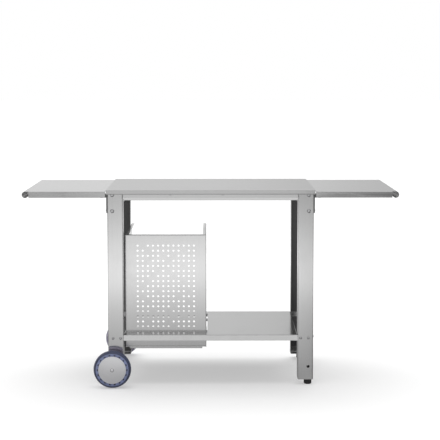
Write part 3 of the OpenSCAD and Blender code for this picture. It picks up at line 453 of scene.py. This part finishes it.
def maths(tree, operation, *values):
    """Result of a Math node on numbers or outputs."""
    return add(tree, "Math", dict(enumerate(values)), operation=operation).outputs[0]


def vector(tree, operation, first, second):
    """Result of a Vector Math node on two vectors."""
    return add(tree, "VectorMath", {0: first, 1: second}, operation=operation).outputs[0]


def scaled(tree, tint, level):
    """Vector or colour times a number."""
    return add(tree, "VectorMath", {0: tint, "Scale": level}, operation="SCALE").outputs[0]


def parts_of(tree, place):
    """The three outputs of a Separate XYZ node."""
    return add(tree, "SeparateXYZ", {0: place}).outputs


def reach_of(tree, first, second):
    """Length of a flat vector from its two parts."""
    return maths(tree, "SQRT", maths(tree, "ADD", maths(tree, "MULTIPLY", first, first),
                                     maths(tree, "MULTIPLY", second, second)))


def reach_from(tree, place, middle):
    """Distance of a place from the axis along Y through a point."""
    flat = vector(tree, "MULTIPLY", vector(tree, "SUBTRACT", place, middle), (1, 0, 1))
    return add(tree, "VectorMath", {0: flat}, operation="LENGTH").outputs["Value"]


def all_of(tree, tests):
    """One where each test is one."""
    result = tests[0]
    for test in tests[1:]:
        result = maths(tree, "MULTIPLY", result, test)
    return result


def ranged(tree, value, low, high, start=0.0, end=1.0):
    """Value moved from one range to another, with soft ends."""
    feeds = {"Value": value, "From Min": low, "From Max": high, "To Min": start, "To Max": end}
    return add(tree, "MapRange", feeds, interpolation_type="SMOOTHSTEP").outputs[0]


def blended(tree, factor, first, second):
    """Mix of two numbers."""
    return add(tree, "Mix", {0: factor, 2: first, 3: second}, data_type="FLOAT").outputs[0]


def blended_colour(tree, factor, first, second):
    """Mix of two colours."""
    return add(tree, "Mix", {0: factor, 6: first, 7: second}, data_type="RGBA").outputs[2]


def new_group(name, inputs, outputs):
    """Empty shader node group with its sockets, and its input and output nodes."""
    tree = bpy.data.node_groups.new(name, "ShaderNodeTree")
    for side, sockets in (("INPUT", inputs), ("OUTPUT", outputs)):
        for label, kind in sockets.items():
            tree.interface.new_socket(label, in_out=side, socket_type="NodeSocket" + kind)
    return tree, tree.nodes.new("NodeGroupInput").outputs, tree.nodes.new("NodeGroupOutput").inputs


def brushed_grain():
    """Brush lines: a fine and a broad noise drawn out along the grain by the mapping before it."""
    inputs = {"Vector": "Vector", "Color": "Color", "Tone": "Float", "Roughness": "Float"}
    outputs = {"Color": "Color", "Roughness": "Float", "Height": "Float"}
    tree, given, result = new_group("Brushed grain", inputs, outputs)
    broad_share = 0.085
    fine = add(tree, "TexNoise", {"Vector": given["Vector"], "Scale": 1.0, "Detail": 2.0})
    wide = scaled(tree, given["Vector"], broad_share)
    broad = add(tree, "TexNoise", {"Vector": wide, "Scale": 1.0, "Detail": 3.0})
    fine_part = maths(tree, "SUBTRACT", fine.outputs[0], 0.5)
    broad_part = maths(tree, "SUBTRACT", broad.outputs[0], 0.5)
    both = maths(tree, "ADD", fine_part, broad_part)
    shade = maths(tree, "MULTIPLY_ADD", both, given["Tone"], 1.0)
    tree.links.new(scaled(tree, given["Color"], shade), result["Color"])
    tree.links.new(maths(tree, "MULTIPLY", given["Roughness"], shade), result["Roughness"])
    tree.links.new(fine.outputs[0], result["Height"])
    return tree


def handling_marks():
    """Cloudy marks that wiping and hands leave: two soft noises, kept where they agree."""
    tree, given, result = new_group("Handling marks", {"Vector": "Vector"}, {"Mask": "Float"})
    feeds = {"Vector": given["Vector"], "Scale": 5.5, "Detail": 3.0, "Distortion": 0.6}
    wide = add(tree, "TexNoise", feeds)
    small = add(tree, "TexNoise", {"Vector": given["Vector"], "Scale": 23.0, "Detail": 4.0})
    mask = maths(tree, "MULTIPLY", ranged(tree, wide.outputs[0], low=0.42, high=0.72),
                 ranged(tree, small.outputs[0], low=0.36, high=0.66))
    tree.links.new(mask, result["Mask"])
    return tree


def settled_dust():
    """Dust on rubber and plastic: fine grains that gather in soft patches."""
    tree, given, result = new_group("Settled dust", {"Vector": "Vector", "Amount": "Float"},
                                    {"Mask": "Float", "Height": "Float"})
    patch = add(tree, "TexNoise", {"Vector": given["Vector"], "Scale": 38.0, "Detail": 4.0})
    grain = add(tree, "TexNoise", {"Vector": given["Vector"], "Scale": 900.0, "Detail": 2.0})
    soft = ranged(tree, patch.outputs[0], low=0.40, high=0.75)
    mask = maths(tree, "MULTIPLY", soft, ranged(tree, grain.outputs[0], low=0.35, high=0.70))
    tree.links.new(maths(tree, "MULTIPLY", mask, given["Amount"]), result["Mask"])
    tree.links.new(grain.outputs[0], result["Height"])
    return tree


def ring_lines():
    """Turned lines: a noise of the distance from an axis along Y, which barely changes round it."""
    tree, given, result = new_group("Ring lines", {"Vector": "Vector"}, {"Vector": "Vector"})
    lines_per_metre, changes_round = 1500.0, 1.6
    x, _, z = parts_of(tree, given["Vector"])
    turn = maths(tree, "ARCTAN2", z, x)
    away = maths(tree, "MULTIPLY", reach_of(tree, x, z), lines_per_metre)
    lines = add(tree, "CombineXYZ", {0: away, 1: maths(tree, "MULTIPLY", turn, changes_round)})
    tree.links.new(lines.outputs[0], result["Vector"])
    return tree


def fold_edges():
    """Mask along the edges of a box, where the middle one of the distances to its sides is small: the
    place of a painted shade line.
    """
    inputs = {"Vector": "Vector", "Low": "Vector", "High": "Vector", "Width": "Float"}
    tree, given, result = new_group("Fold edges", inputs, {"Mask": "Float"})
    below = vector(tree, "SUBTRACT", given["Vector"], given["Low"])
    above = vector(tree, "SUBTRACT", given["High"], given["Vector"])
    a, b, c = parts_of(tree, vector(tree, "MINIMUM", below, above))
    outer = maths(tree, "MINIMUM", maths(tree, "MAXIMUM", a, b), c)
    middle = maths(tree, "MAXIMUM", maths(tree, "MINIMUM", a, b), outer)
    tree.links.new(ranged(tree, middle, 0.0, given["Width"], 1.0, 0.0), result["Mask"])
    return tree


def sprung_folds():
    """Normals of upright folds turned a little towards the sky, as folds that sprang back."""
    outputs = {"Normal": "Vector", "Mask": "Float"}
    tree, given, result = new_group("Sprung folds", {"Lean": "Float"}, outputs)
    normal = add(tree, "NewGeometry").outputs["Normal"]
    level = maths(tree, "ABSOLUTE", parts_of(tree, normal)[2])
    upright = maths(tree, "SUBTRACT", 1.0, level)
    rise = maths(tree, "MULTIPLY", upright, maths(tree, "TANGENT", given["Lean"]))
    lift = add(tree, "CombineXYZ", {2: rise}).outputs[0]
    leaning = vector(tree, "ADD", normal, lift)
    turned = add(tree, "VectorMath", {0: leaning}, operation="NORMALIZE")
    tree.links.new(turned.outputs[0], result["Normal"])
    tree.links.new(upright, result["Mask"])
    return tree


SHARED = {}


def shared(tree, maker, feeds):
    """One of the shared groups, made on first use, placed in a material with its own values."""
    if maker not in SHARED:
        SHARED[maker] = maker()
    node = add(tree, "Group", node_tree=SHARED[maker])
    return feed(tree, node, feeds).outputs


def new_material(name):
    """Empty material with its tree, its Object coordinates and its Principled shader."""
    material = bpy.data.materials.new(name)
    material.use_nodes = True
    tree = material.node_tree
    tree.nodes.clear()
    place = add(tree, "TexCoord").outputs["Object"]
    shader = add(tree, "BsdfPrincipled")
    output = add(tree, "OutputMaterial")
    tree.links.new(shader.outputs[0], output.inputs["Surface"])
    return material, tree, place, shader


def rgba(values):
    """Colour with full opacity."""
    return (*values, 1.0)


def bumped(tree, shader, height, distance):
    """Bump node of full strength on a shader's normal."""
    bump = add(tree, "Bump", {"Height": height, "Distance": distance, "Strength": 1.0})
    tree.links.new(bump.outputs[0], shader.inputs["Normal"])
    return bump


def toned(tree, mask, level, tone):
    """Colour scaled to a level where the mask is one."""
    return blended_colour(tree, mask, tone, scaled(tree, tone, level))


def brushed_steel(name, tint, grain, s, node, mirrored=True, roughness=None, turned=False,
                  marks=0.14, hollow=None, lean=0.0, shade_folds=True):
    """Brushed steel with its grain along one world axis, or turned round the middle of its node.

    The sheen is drawn out across the grain by a tangent round the grain's axis. The folds of the
    node's box get a painted shade line. A mirrored finish serves the copies of a node on both sides of
    the cart.
    Marks say how far handling roughens it, and the lean how far upright folds spring back; those folds
    also get a painted highlight.
    """
    material, tree, place, shader = new_material(name)
    roughness = s.roughness if roughness is None else roughness
    low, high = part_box(node)
    if turned:
        feeds = {"Vector": place, "Location": tuple(-(low + high) / 2)}
        moved = add(tree, "Mapping", feeds).outputs[0]
        lines = shared(tree, ring_lines, {"Vector": moved})["Vector"]
    else:
        scale = [1 / s.line_w] * 3
        scale["XYZ".index(grain)] = 1 / s.line_l
        lines = add(tree, "Mapping", {"Vector": place, "Scale": scale}).outputs[0]
        tangent = add(tree, "Tangent", direction_type="RADIAL", axis=grain)
        tree.links.new(tangent.outputs[0], shader.inputs["Tangent"])
        shader.inputs["Anisotropic"].default_value = s.stretch
    if mirrored:
        place = add(tree, "VectorMath", {0: place}, operation="ABSOLUTE").outputs[0]
    feeds = {"Vector": lines, "Color": rgba(tint), "Tone": s.tone, "Roughness": roughness}
    grained = shared(tree, brushed_grain, feeds)
    tone = grained["Color"]
    if turned:
        # Painted shade in a ring round the hub screw's head
        tone = toned(tree, screw_rim(tree, moved), s.rim_shade_tone, tone)
    elif shade_folds:
        # Painted shade along the folds and edges of the box
        feeds = {"Vector": place, "Low": low, "High": high, "Width": s.edge_w}
        tone = toned(tree, shared(tree, fold_edges, feeds)["Mask"], s.fold_shade_tone, tone)
    mask = shared(tree, handling_marks, {"Vector": place})["Mask"]
    marked = maths(tree, "MULTIPLY_ADD", mask, marks, 1.0)
    rough = maths(tree, "MULTIPLY", grained["Roughness"], marked)
    # Painted shade darkens the hollow, and the sheet is rougher there
    if hollow:
        inside = hollow(tree, place, low, high)
        tone = toned(tree, inside, s.hollow_shade_tone, tone)
        rough = blended(tree, inside, rough, s.hollow_roughness)
    bump = bumped(tree, shader, grained["Height"], s.relief)
    if lean:
        folds = shared(tree, sprung_folds, {"Lean": lean})
        tree.links.new(folds["Normal"], bump.inputs["Normal"])
        # Painted highlight on the upright faces
        tone = toned(tree, folds["Mask"], s.lip_highlight_tone, tone)
    tree.links.new(tone, shader.inputs["Base Color"])
    tree.links.new(rough, shader.inputs["Roughness"])
    shader.inputs["Metallic"].default_value = 1.0
    return material


def screw_rim(tree, place):
    """One in a narrow ring of painted shade round the head of a hub cap's screw."""
    low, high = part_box("hub_screws")
    head_r, soft = (high.x - low.x) / 2, 1.0 * MM
    start, end = head_r - 1.6 * MM, head_r + 1.2 * MM
    reach = reach_from(tree, place, (0, 0, 0))
    inner = ranged(tree, reach, start, start + soft)
    return maths(tree, "MULTIPLY", inner, ranged(tree, reach, end - soft, end, 1.0, 0.0))


def leg_hollow(tree, place, low, high):
    """Painted shade: one inside the channel of a leg, above its bottom tab, and nought on its outer
    faces.
    """
    across, deep, up = parts_of(tree, place)
    skin, tab = 1.0 * MM, 5.0 * MM
    return all_of(tree, [maths(tree, "LESS_THAN", across, high.x - skin),
                         maths(tree, "GREATER_THAN", across, low.x + skin),
                         maths(tree, "LESS_THAN", deep, high.y - skin),
                         maths(tree, "GREATER_THAN", up, low.z + tab)])


def skirt_edge(tree, place, low, high):
    """Painted shade: partly one along the cut edge at the bottom of the top plate's skirt."""
    line, soft, strength = 2.5 * MM, 2.0 * MM, 0.4
    start = low.z + line
    return ranged(tree, parts_of(tree, place)[2], start, start + soft, strength, 0.0)


def curl_hollow(tree, place, low, high):
    """Painted shade: partly one inside the rolled edge of a side shelf, whose tube is as tall as the
    shelf's box.
    """
    radius, strength = (high.z - low.z) / 2, 0.6
    reach = reach_from(tree, place, (high.x - radius, 0, high.z - radius))
    return ranged(tree, reach, radius - 1.4 * MM, radius - 0.6 * MM, strength, 0.0)


def bright_steel(name, s):
    """Pressed fasteners: smooth, with faint marks, and painted shade round a head's rim."""
    material, tree, place, shader = new_material(name)
    fine = add(tree, "TexNoise", {"Vector": place, "Scale": 700.0, "Detail": 3.0}).outputs[0]
    shade = ranged(tree, fine, low=0.3, high=0.7, start=0.90, end=1.04)
    rim = add(tree, "Attribute", attribute_name=RIM).outputs["Fac"]
    # Painted shade round a head's rim
    tone = toned(tree, rim, s.rim_shade_tone, scaled(tree, s.bolt_colour, shade))
    tree.links.new(tone, shader.inputs["Base Color"])
    smoothest, roughest = s.bolt_roughness * 0.7, s.bolt_roughness * 1.4
    rough = ranged(tree, fine, low=0.3, high=0.7, start=smoothest, end=roughest)
    tree.links.new(rough, shader.inputs["Roughness"])
    shader.inputs["Metallic"].default_value = 1.0
    bumped(tree, shader, fine, 0.01 * MM)
    return material


def moulded(name, tint, dust_tint, roughness, dust, grain, inner_light=None, pocket_shade_tone=None):
    """Moulded rubber or plastic: fine texture, slow change of tone and settled dust.

    Painted light lightens the inner side of a wheel's part, and painted shade darkens the rim's
    pockets.
    """
    material, tree, place, shader = new_material(name)
    slow = add(tree, "TexNoise", {"Vector": place, "Scale": 16.0, "Detail": 3.0}).outputs[0]
    base = scaled(tree, tint, ranged(tree, slow, low=0.3, high=0.7, start=0.86, end=1.14))
    dusty = shared(tree, settled_dust, {"Vector": place, "Amount": dust})
    mixed = blended_colour(tree, dusty["Mask"], base, rgba(dust_tint))
    if inner_light is not None:
        # Painted light on the inner side
        mixed = blended_colour(tree, inner_side(tree, place), mixed, rgba(inner_light))
    if pocket_shade_tone is not None:
        # Painted shade in the rim's pockets
        mixed = toned(tree, pocket_hollow(tree, place), pocket_shade_tone, mixed)
    tree.links.new(mixed, shader.inputs["Base Color"])
    dust_roughness, roughest = 0.6, 0.95
    dulled = maths(tree, "MULTIPLY_ADD", dusty["Mask"], dust_roughness, roughness)
    tree.links.new(maths(tree, "MINIMUM", dulled, roughest), shader.inputs["Roughness"])
    bumped(tree, shader, dusty["Height"], grain)
    return material


def inner_side(tree, place):
    """Painted light: one on the side of a wheel that faces the other wheel."""
    low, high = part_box("rear_tyre")
    deep = maths(tree, "ABSOLUTE", parts_of(tree, place)[1])
    return ranged(tree, deep, low.y, (low.y + high.y) / 2, 1.0, 0.0)


def pocket_hollow(tree, place):
    """Painted shade: one in the pockets of a wheel's rim, which lie outside its hub cap and behind its
    face.
    """
    low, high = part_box("rear_wheel_core")
    cap_low, cap_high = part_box("rear_hub_cap")
    middle, cap_r = (low + high) / 2, (cap_high.x - cap_low.x) / 2
    gap, edge, skin = 0.5 * MM, 3.0 * MM, 0.8 * MM
    reach = reach_from(tree, place, (middle.x, 0, middle.z))
    deep = maths(tree, "ABSOLUTE", parts_of(tree, place)[1])
    return all_of(tree, [maths(tree, "GREATER_THAN", reach, cap_r + gap),
                         maths(tree, "LESS_THAN", reach, high.x - middle.x - edge),
                         maths(tree, "GREATER_THAN", deep, middle.y),
                         maths(tree, "LESS_THAN", deep, high.y - skin)])


def dress(material, *nodes):
    """CAD nodes whose shape is right get their finish."""
    for node in nodes:
        for slot in NODES[node].material_slots:
            slot.material = material


# Operators

class CART_OT_studio(bpy.types.Operator):
    """Camera, floor, wide lamp and surroundings"""

    bl_idname = "cart.studio"
    bl_label = "Studio"

    def execute(self, context):
        s = context.scene.cart_studio
        context.scene.view_settings.view_transform = "Standard"
        self.make_camera(context, s)
        self.make_floor(context, s)
        self.make_lamp(context, s)
        self.make_world(context, s)
        return {"FINISHED"}

    def make_camera(self, context, s):
        data = bpy.data.cameras.new("Camera")
        data.lens, data.sensor_width, data.shift_y = s.lens, 36.0, s.rise
        camera = bpy.data.objects.new("Camera", data)
        camera.location = s.camera_place
        camera.rotation_euler = (pi / 2 - s.camera_pitch, 0, -s.camera_yaw)
        context.scene.collection.objects.link(camera)
        context.scene.camera = camera

    def make_lamp(self, context, s):
        """A wide lamp overhead, a little behind the cart."""
        data = bpy.data.lights.new("Overhead lamp", "SUN")
        data.energy, data.angle = s.lamp * pi, s.lamp_size
        lamp = bpy.data.objects.new("Overhead lamp", data)
        lamp.rotation_euler = (-s.lamp_tilt, 0, 0)
        lamp.visible_glossy = False
        context.scene.collection.objects.link(lamp)

    def make_floor(self, context, s):
        """Pale floor: white to the camera with a soft shadow, and a graded sheet in the steel.

        It can be looked through from below.
        """
        reach = 40.0
        mesh = bpy.data.meshes.new("Floor")
        edge = [(-reach, -reach, 0), (reach, -reach, 0), (reach, reach, 0), (-reach, reach, 0)]
        mesh.from_pydata(edge, [], [(0, 1, 2, 3)])
        floor = bpy.data.objects.new("Floor", mesh)
        context.scene.collection.objects.link(floor)
        material = bpy.data.materials.new("Floor")
        material.use_nodes = True
        tree = material.node_tree
        tree.nodes.clear()
        seen = add(tree, "LightPath").outputs
        matt = add(tree, "BsdfDiffuse", {"Color": rgba(s.floor_colour)}).outputs[0]
        white = add(tree, "Emission", {"Color": (1, 1, 1, 1), "Strength": 1.0}).outputs[0]
        camera_look = add(tree, "MixShader", {0: s.floor_glow, 1: matt, 2: white}).outputs[0]
        graded = add(tree, "Emission", {"Strength": floor_sheen(tree)}).outputs[0]
        mirrored = maths(tree, "MAXIMUM", seen["Is Glossy Ray"], seen["Is Transmission Ray"])
        plain = add(tree, "MixShader", {0: mirrored, 1: matt, 2: graded}).outputs[0]
        to_camera = seen["Is Camera Ray"]
        above = add(tree, "MixShader", {0: to_camera, 1: plain, 2: camera_look}).outputs[0]
        clear = add(tree, "BsdfTransparent").outputs[0]
        from_below = add(tree, "NewGeometry").outputs["Backfacing"]
        look = add(tree, "MixShader", {0: from_below, 1: above, 2: clear}).outputs[0]
        output = add(tree, "OutputMaterial")
        tree.links.new(look, output.inputs["Surface"])
        mesh.materials.append(material)

    def make_world(self, context, s):
        """White behind the cart, and a studio that steel mirrors: pale above, dark at the sides."""
        world = bpy.data.worlds.new("Studio")
        world.use_nodes = True
        tree = world.node_tree
        tree.nodes.clear()
        seen = add(tree, "LightPath").outputs
        mirrored = maths(tree, "MAXIMUM", seen["Is Glossy Ray"], seen["Is Transmission Ray"])
        level = blended(tree, mirrored, s.sky, studio_sheen(tree))
        level = blended(tree, seen["Is Camera Ray"], level, 1.0)
        back = add(tree, "Background", {"Color": (1, 1, 1, 1), "Strength": level}).outputs[0]
        output = add(tree, "OutputWorld")
        tree.links.new(back, output.inputs["Surface"])
        context.scene.world = world


def ramp_of(tree, value, stops):
    """Value looked up in a ramp of grey stops, each a place from nought to one and a level."""
    ramp = add(tree, "ValToRGB", {0: value})
    while len(ramp.color_ramp.elements) < len(stops):
        ramp.color_ramp.elements.new(1.0)
    for element, (part, level) in zip(ramp.color_ramp.elements, stops):
        element.position, element.color = part, (level, level, level, 1)
    return ramp.outputs[0]


# Sideways slopes of a mirrored ray, and the level there of dark flags and a bright strip
FLAGS = [(-0.40, 1.0), (-0.24, 0.75), (-0.115, 0.75), (-0.10, 1.0), (0.02, 1.0), (0.06, 0.95),
         (0.080, 1.04), (0.092, 1.15), (0.100, 0.44), (0.13, 0.29), (0.23, 0.36), (0.39, 1.0)]

# Distances on the floor as shares of its range in metres, and its level in the steel there
FLOOR_RANGE = 10.0
FLOOR_LEVELS = [(0.0, 0.25), (0.061, 0.40), (0.079, 0.50), (0.12, 0.645), (0.153, 0.75),
                (0.19, 0.87), (0.22, 1.08), (0.27, 1.33), (0.37, 1.16), (0.60, 0.79),
                (0.77, 0.69), (1.0, 0.61)]

# How far the camera's mirror image in the cart's front stands behind the middle of the cart
MIRRORED_CAMERA = 4.25


def side_shade(tree, slope):
    """Level from the flags and the strip at either side, by the sideways slope of a ray."""
    half = 0.5
    stops = [(place + half, level) for place, level in FLAGS]
    return ramp_of(tree, maths(tree, "ADD", slope, half), stops)


def floor_sheen(tree):
    """Level of the floor in the steel: dim under the cart, brightest a few steps away.

    The slope is that of a ray from the camera's mirror image.
    """
    place = add(tree, "NewGeometry").outputs["Position"]
    across, forward, _ = parts_of(tree, place)
    away = maths(tree, "DIVIDE", reach_of(tree, across, forward), FLOOR_RANGE)
    sheen = ramp_of(tree, away, FLOOR_LEVELS)
    run = maths(tree, "ADD", maths(tree, "ABSOLUTE", forward), MIRRORED_CAMERA)
    slope = maths(tree, "DIVIDE", across, run)
    level = maths(tree, "MULTIPLY", sheen, side_shade(tree, slope))
    sideways = maths(tree, "ABSOLUTE", across)
    fall = ranged(tree, sideways, low=1.9, high=4.5, start=1.0, end=0.5)
    return maths(tree, "MULTIPLY", level, fall)


def studio_sheen(tree):
    """Level of the surroundings in the steel, from the direction of the mirrored ray."""
    ahead_level, side_level, top_level = 0.66, 0.28, 1.0
    way = add(tree, "TexCoord").outputs["Generated"]
    across, forward, up = parts_of(tree, way)
    run = maths(tree, "MAXIMUM", maths(tree, "ABSOLUTE", forward), 0.02)
    slope = maths(tree, "DIVIDE", across, run)
    ahead = maths(tree, "MULTIPLY", side_shade(tree, slope), ahead_level)
    behind = ranged(tree, across, low=-0.02, high=0.20, start=0.80, end=0.55)
    level = blended(tree, ranged(tree, forward, low=-0.15, high=0.15), ahead, behind)
    sideways = ranged(tree, maths(tree, "ABSOLUTE", across), low=0.55, high=0.95)
    level = blended(tree, sideways, level, side_level)
    return blended(tree, ranged(tree, up, low=0.35, high=0.85), level, top_level)


class CART_OT_legs(bpy.types.Operator):
    """Grain along the four legs and the rails behind them"""

    bl_idname = "cart.legs"
    bl_label = "Legs and rails"

    def execute(self, context):
        s = context.scene.cart_steel
        legs = brushed_steel("Leg steel", s.leg_colour, "Z", s, "leg_rear_right", hollow=leg_hollow)
        dress(legs, "leg_front_left", "leg_front_right", "leg_rear_left", "leg_rear_right")
        rails = brushed_steel("Rail steel", s.rail_colour, "X", s, "rear_top_rail")
        dress(rails, "front_top_rail", "rear_top_rail")
        ends = brushed_steel("End rail steel", s.rail_colour, "Y", s, "right_end_rail")
        dress(ends, "left_end_rail", "right_end_rail")
        return {"FINISHED"}


class CART_OT_plates(bpy.types.Operator):
    """Grain from side to side on the top plate and the lower shelf"""

    bl_idname = "cart.plates"
    bl_label = "Top plate and lower shelf"

    def execute(self, context):
        s = context.scene.cart_steel
        # The skirt's lower edge gets a painted shade line
        plate = brushed_steel("Top plate steel", s.plate_colour, "X", s, "top_plate",
                              hollow=skirt_edge, shade_folds=False)
        dress(plate, "top_plate")
        shelf = brushed_steel("Lower shelf steel", s.plate_colour, "X", s, "lower_shelf",
                              lean=s.shelf_lean)
        dress(shelf, "lower_shelf")
        return {"FINISHED"}


class CART_OT_side_shelves(bpy.types.Operator):
    """Grain from front to back on the side shelves, and along their arms and hinge brackets"""

    bl_idname = "cart.side_shelves"
    bl_label = "Side shelves and hinges"

    def execute(self, context):
        s = context.scene.cart_steel
        # The rolled edges get painted shade inside
        shelf = brushed_steel("Side shelf steel", s.plate_colour, "Y", s, "right_shelf",
                              hollow=curl_hollow)
        dress(shelf, "left_shelf", "right_shelf")
        duller = 1.15
        rough = s.roughness * duller
        arm = brushed_steel("Shelf arm steel", s.rail_colour, "X", s, "right_shelf_arms",
                            roughness=rough)
        dress(arm, "left_shelf_arms", "right_shelf_arms")
        # The brackets carry painted shade in their colour
        ear = brushed_steel("Bracket steel", s.bracket_shade_colour, "Z", s, "right_rear_bracket",
                            roughness=rough)
        dress(ear, "left_front_bracket", "left_rear_bracket", "right_front_bracket",
              "right_rear_bracket")
        return {"FINISHED"}


class CART_OT_bottle_bay(bpy.types.Operator):
    """Upright grain on the bottle bay's perforated front and walls, and grain along its tray"""

    bl_idname = "cart.bottle_bay"
    bl_label = "Bottle bay"

    def execute(self, context):
        s = context.scene.cart_steel
        sheets = {
            "bottle_front_panel": ("Bay panel steel", "Z"),
            "bottle_side_left": ("Left wall steel", "Z"),
            "bottle_side_right": ("Right wall steel", "Z"),
            "bottle_tray": ("Tray steel", "X"),
        }
        for node, (name, grain) in sheets.items():
            dress(brushed_steel(name, s.bay_colour, grain, s, node, mirrored=False), node)
        return {"FINISHED"}


class CART_OT_wheels(bpy.types.Operator):
    """Grooved tyres, moulded cores, bushes and turned hub caps"""

    bl_idname = "cart.wheels"
    bl_label = "Wheels"

    def execute(self, context):
        s, steel = context.scene.cart_wheels, context.scene.cart_steel
        tyre = moulded("Tyre rubber", s.tyre_colour, s.dust_colour, s.tyre_roughness,
                       dust=0.10, grain=0.02 * MM, inner_light=s.inner_light_colour)
        core = moulded("Wheel core plastic", s.core_colour, s.dust_colour, s.core_roughness,
                       dust=0.05, grain=0.01 * MM, inner_light=s.inner_light_colour, pocket_shade_tone=s.pocket_shade_tone)
        bush = moulded("Bush plastic", s.bush_colour, s.dust_colour, s.bush_roughness,
                       dust=0.03, grain=0.01 * MM)
        dress(bush, "front_wheel_bushes", "rear_wheel_bushes", "axle_blocks")
        for end in ("front", "rear"):
            tyre_node, core_node, cap_node = end + "_tyre", end + "_wheel_core", end + "_hub_cap"
            surface = tyre_surface(tyre_node, core_node, s)
            make_piece(end.capitalize() + "_tyre_rubber", [surface], tyre_node, tyre)
            dress(core, core_node)
            cap = brushed_steel(end.capitalize() + " hub cap steel", steel.cap_colour, "Y", steel,
                                cap_node, mirrored=False, roughness=steel.cap_roughness,
                                turned=True, marks=0.10)
            dress(cap, cap_node)
        dress(cap, "hub_screws")
        return {"FINISHED"}


class CART_OT_feet(bpy.types.Operator):
    """Fluted rubber feet under the right legs"""

    bl_idname = "cart.feet"
    bl_label = "Feet"

    def execute(self, context):
        s, dust_colour = context.scene.cart_feet, context.scene.cart_wheels.dust_colour
        rubber = moulded("Foot rubber", s.colour, dust_colour, s.roughness, dust=0.06, grain=0.02 * MM)
        for end in ("front", "rear"):
            node = end + "_foot"
            surface = foot_surface(node, "foot_bolts", s)
            make_piece(end.capitalize() + "_foot_rubber", [surface], node, rubber)
        return {"FINISHED"}


class CART_OT_fasteners(bpy.types.Operator):
    """Threaded bolts in place of the plain ones, and a bright finish on the rest"""

    bl_idname = "cart.fasteners"
    bl_label = "Fasteners"

    def execute(self, context):
        s, steel = context.scene.cart_threads, context.scene.cart_steel
        bright = bright_steel("Fastener steel", steel)
        upright, along_x, along_y = 2, 0, 1
        bolts = {
            "leg_top_bolts": (along_y, False), "rail_bolts": (along_x, False),
            "bracket_bolts": (along_x, False), "bay_bolts": (along_x, False),
            "tray_bolts": (upright, False), "foot_bolts": (upright, True),
            "pivot_pins": (along_y, True),
        }
        for node, (axis, flat) in bolts.items():
            surfaces = [bolt_surface(corners, axis, s, flat) for corners in solids_of(node)]
            make_piece(node.capitalize() + "_threaded", surfaces, node, bright)
        surfaces = []
        for corners in solids_of("shelf_bolts"):
            x = corners[:, 0]
            at_side = x.min() * x.max() > 0 and abs(x).max() > LEG_X
            surfaces.append(bolt_surface(corners, along_x if at_side else along_y, s, False))
        make_piece("Shelf_bolts_threaded", surfaces, "shelf_bolts", bright)
        dress(bright, "top_plate_nuts", "rail_screws", "rail_nuts", "leg_top_nuts", "shelf_nuts",
              "panel_rivets", "bay_spacers", "bay_nuts", "tray_nuts", "bracket_nuts", "pivot_nuts",
              "left_guide_pins", "right_guide_pins", "axle", "axle_spacers", "axle_rings",
              "hub_washers", "foot_nuts")
        return {"FINISHED"}


class CART_PT_panel(bpy.types.Panel):
    """Steps of the grill cart, in their order"""

    bl_idname = "CART_PT_panel"
    bl_label = "Grill Cart"
    bl_space_type = "VIEW_3D"
    bl_region_type = "UI"
    bl_category = "Grill Cart"

    def draw(self, context):
        for step in STEPS:
            self.layout.operator(step.bl_idname)
        for name, group in GROUPS.items():
            box = self.layout.box()
            box.label(text=group.__doc__)
            for key in group.__annotations__:
                box.prop(getattr(context.scene, name), key)


STEPS = (CART_OT_studio, CART_OT_legs, CART_OT_plates, CART_OT_side_shelves, CART_OT_bottle_bay,
         CART_OT_wheels, CART_OT_feet, CART_OT_fasteners)
CLASSES = (*GROUPS.values(), *STEPS, CART_PT_panel)


def register():
    for cls in CLASSES:
        bpy.utils.register_class(cls)
    for name, group in GROUPS.items():
        setattr(bpy.types.Scene, name, PointerProperty(type=group))


def unregister():
    for name in GROUPS:
        delattr(bpy.types.Scene, name)
    for cls in reversed(CLASSES):
        bpy.utils.unregister_class(cls)


def main():
    register()
    for step in STEPS:
        group, operation = step.bl_idname.split(".")
        getattr(getattr(bpy.ops, group), operation)()


if __name__ == "__main__":
    main()
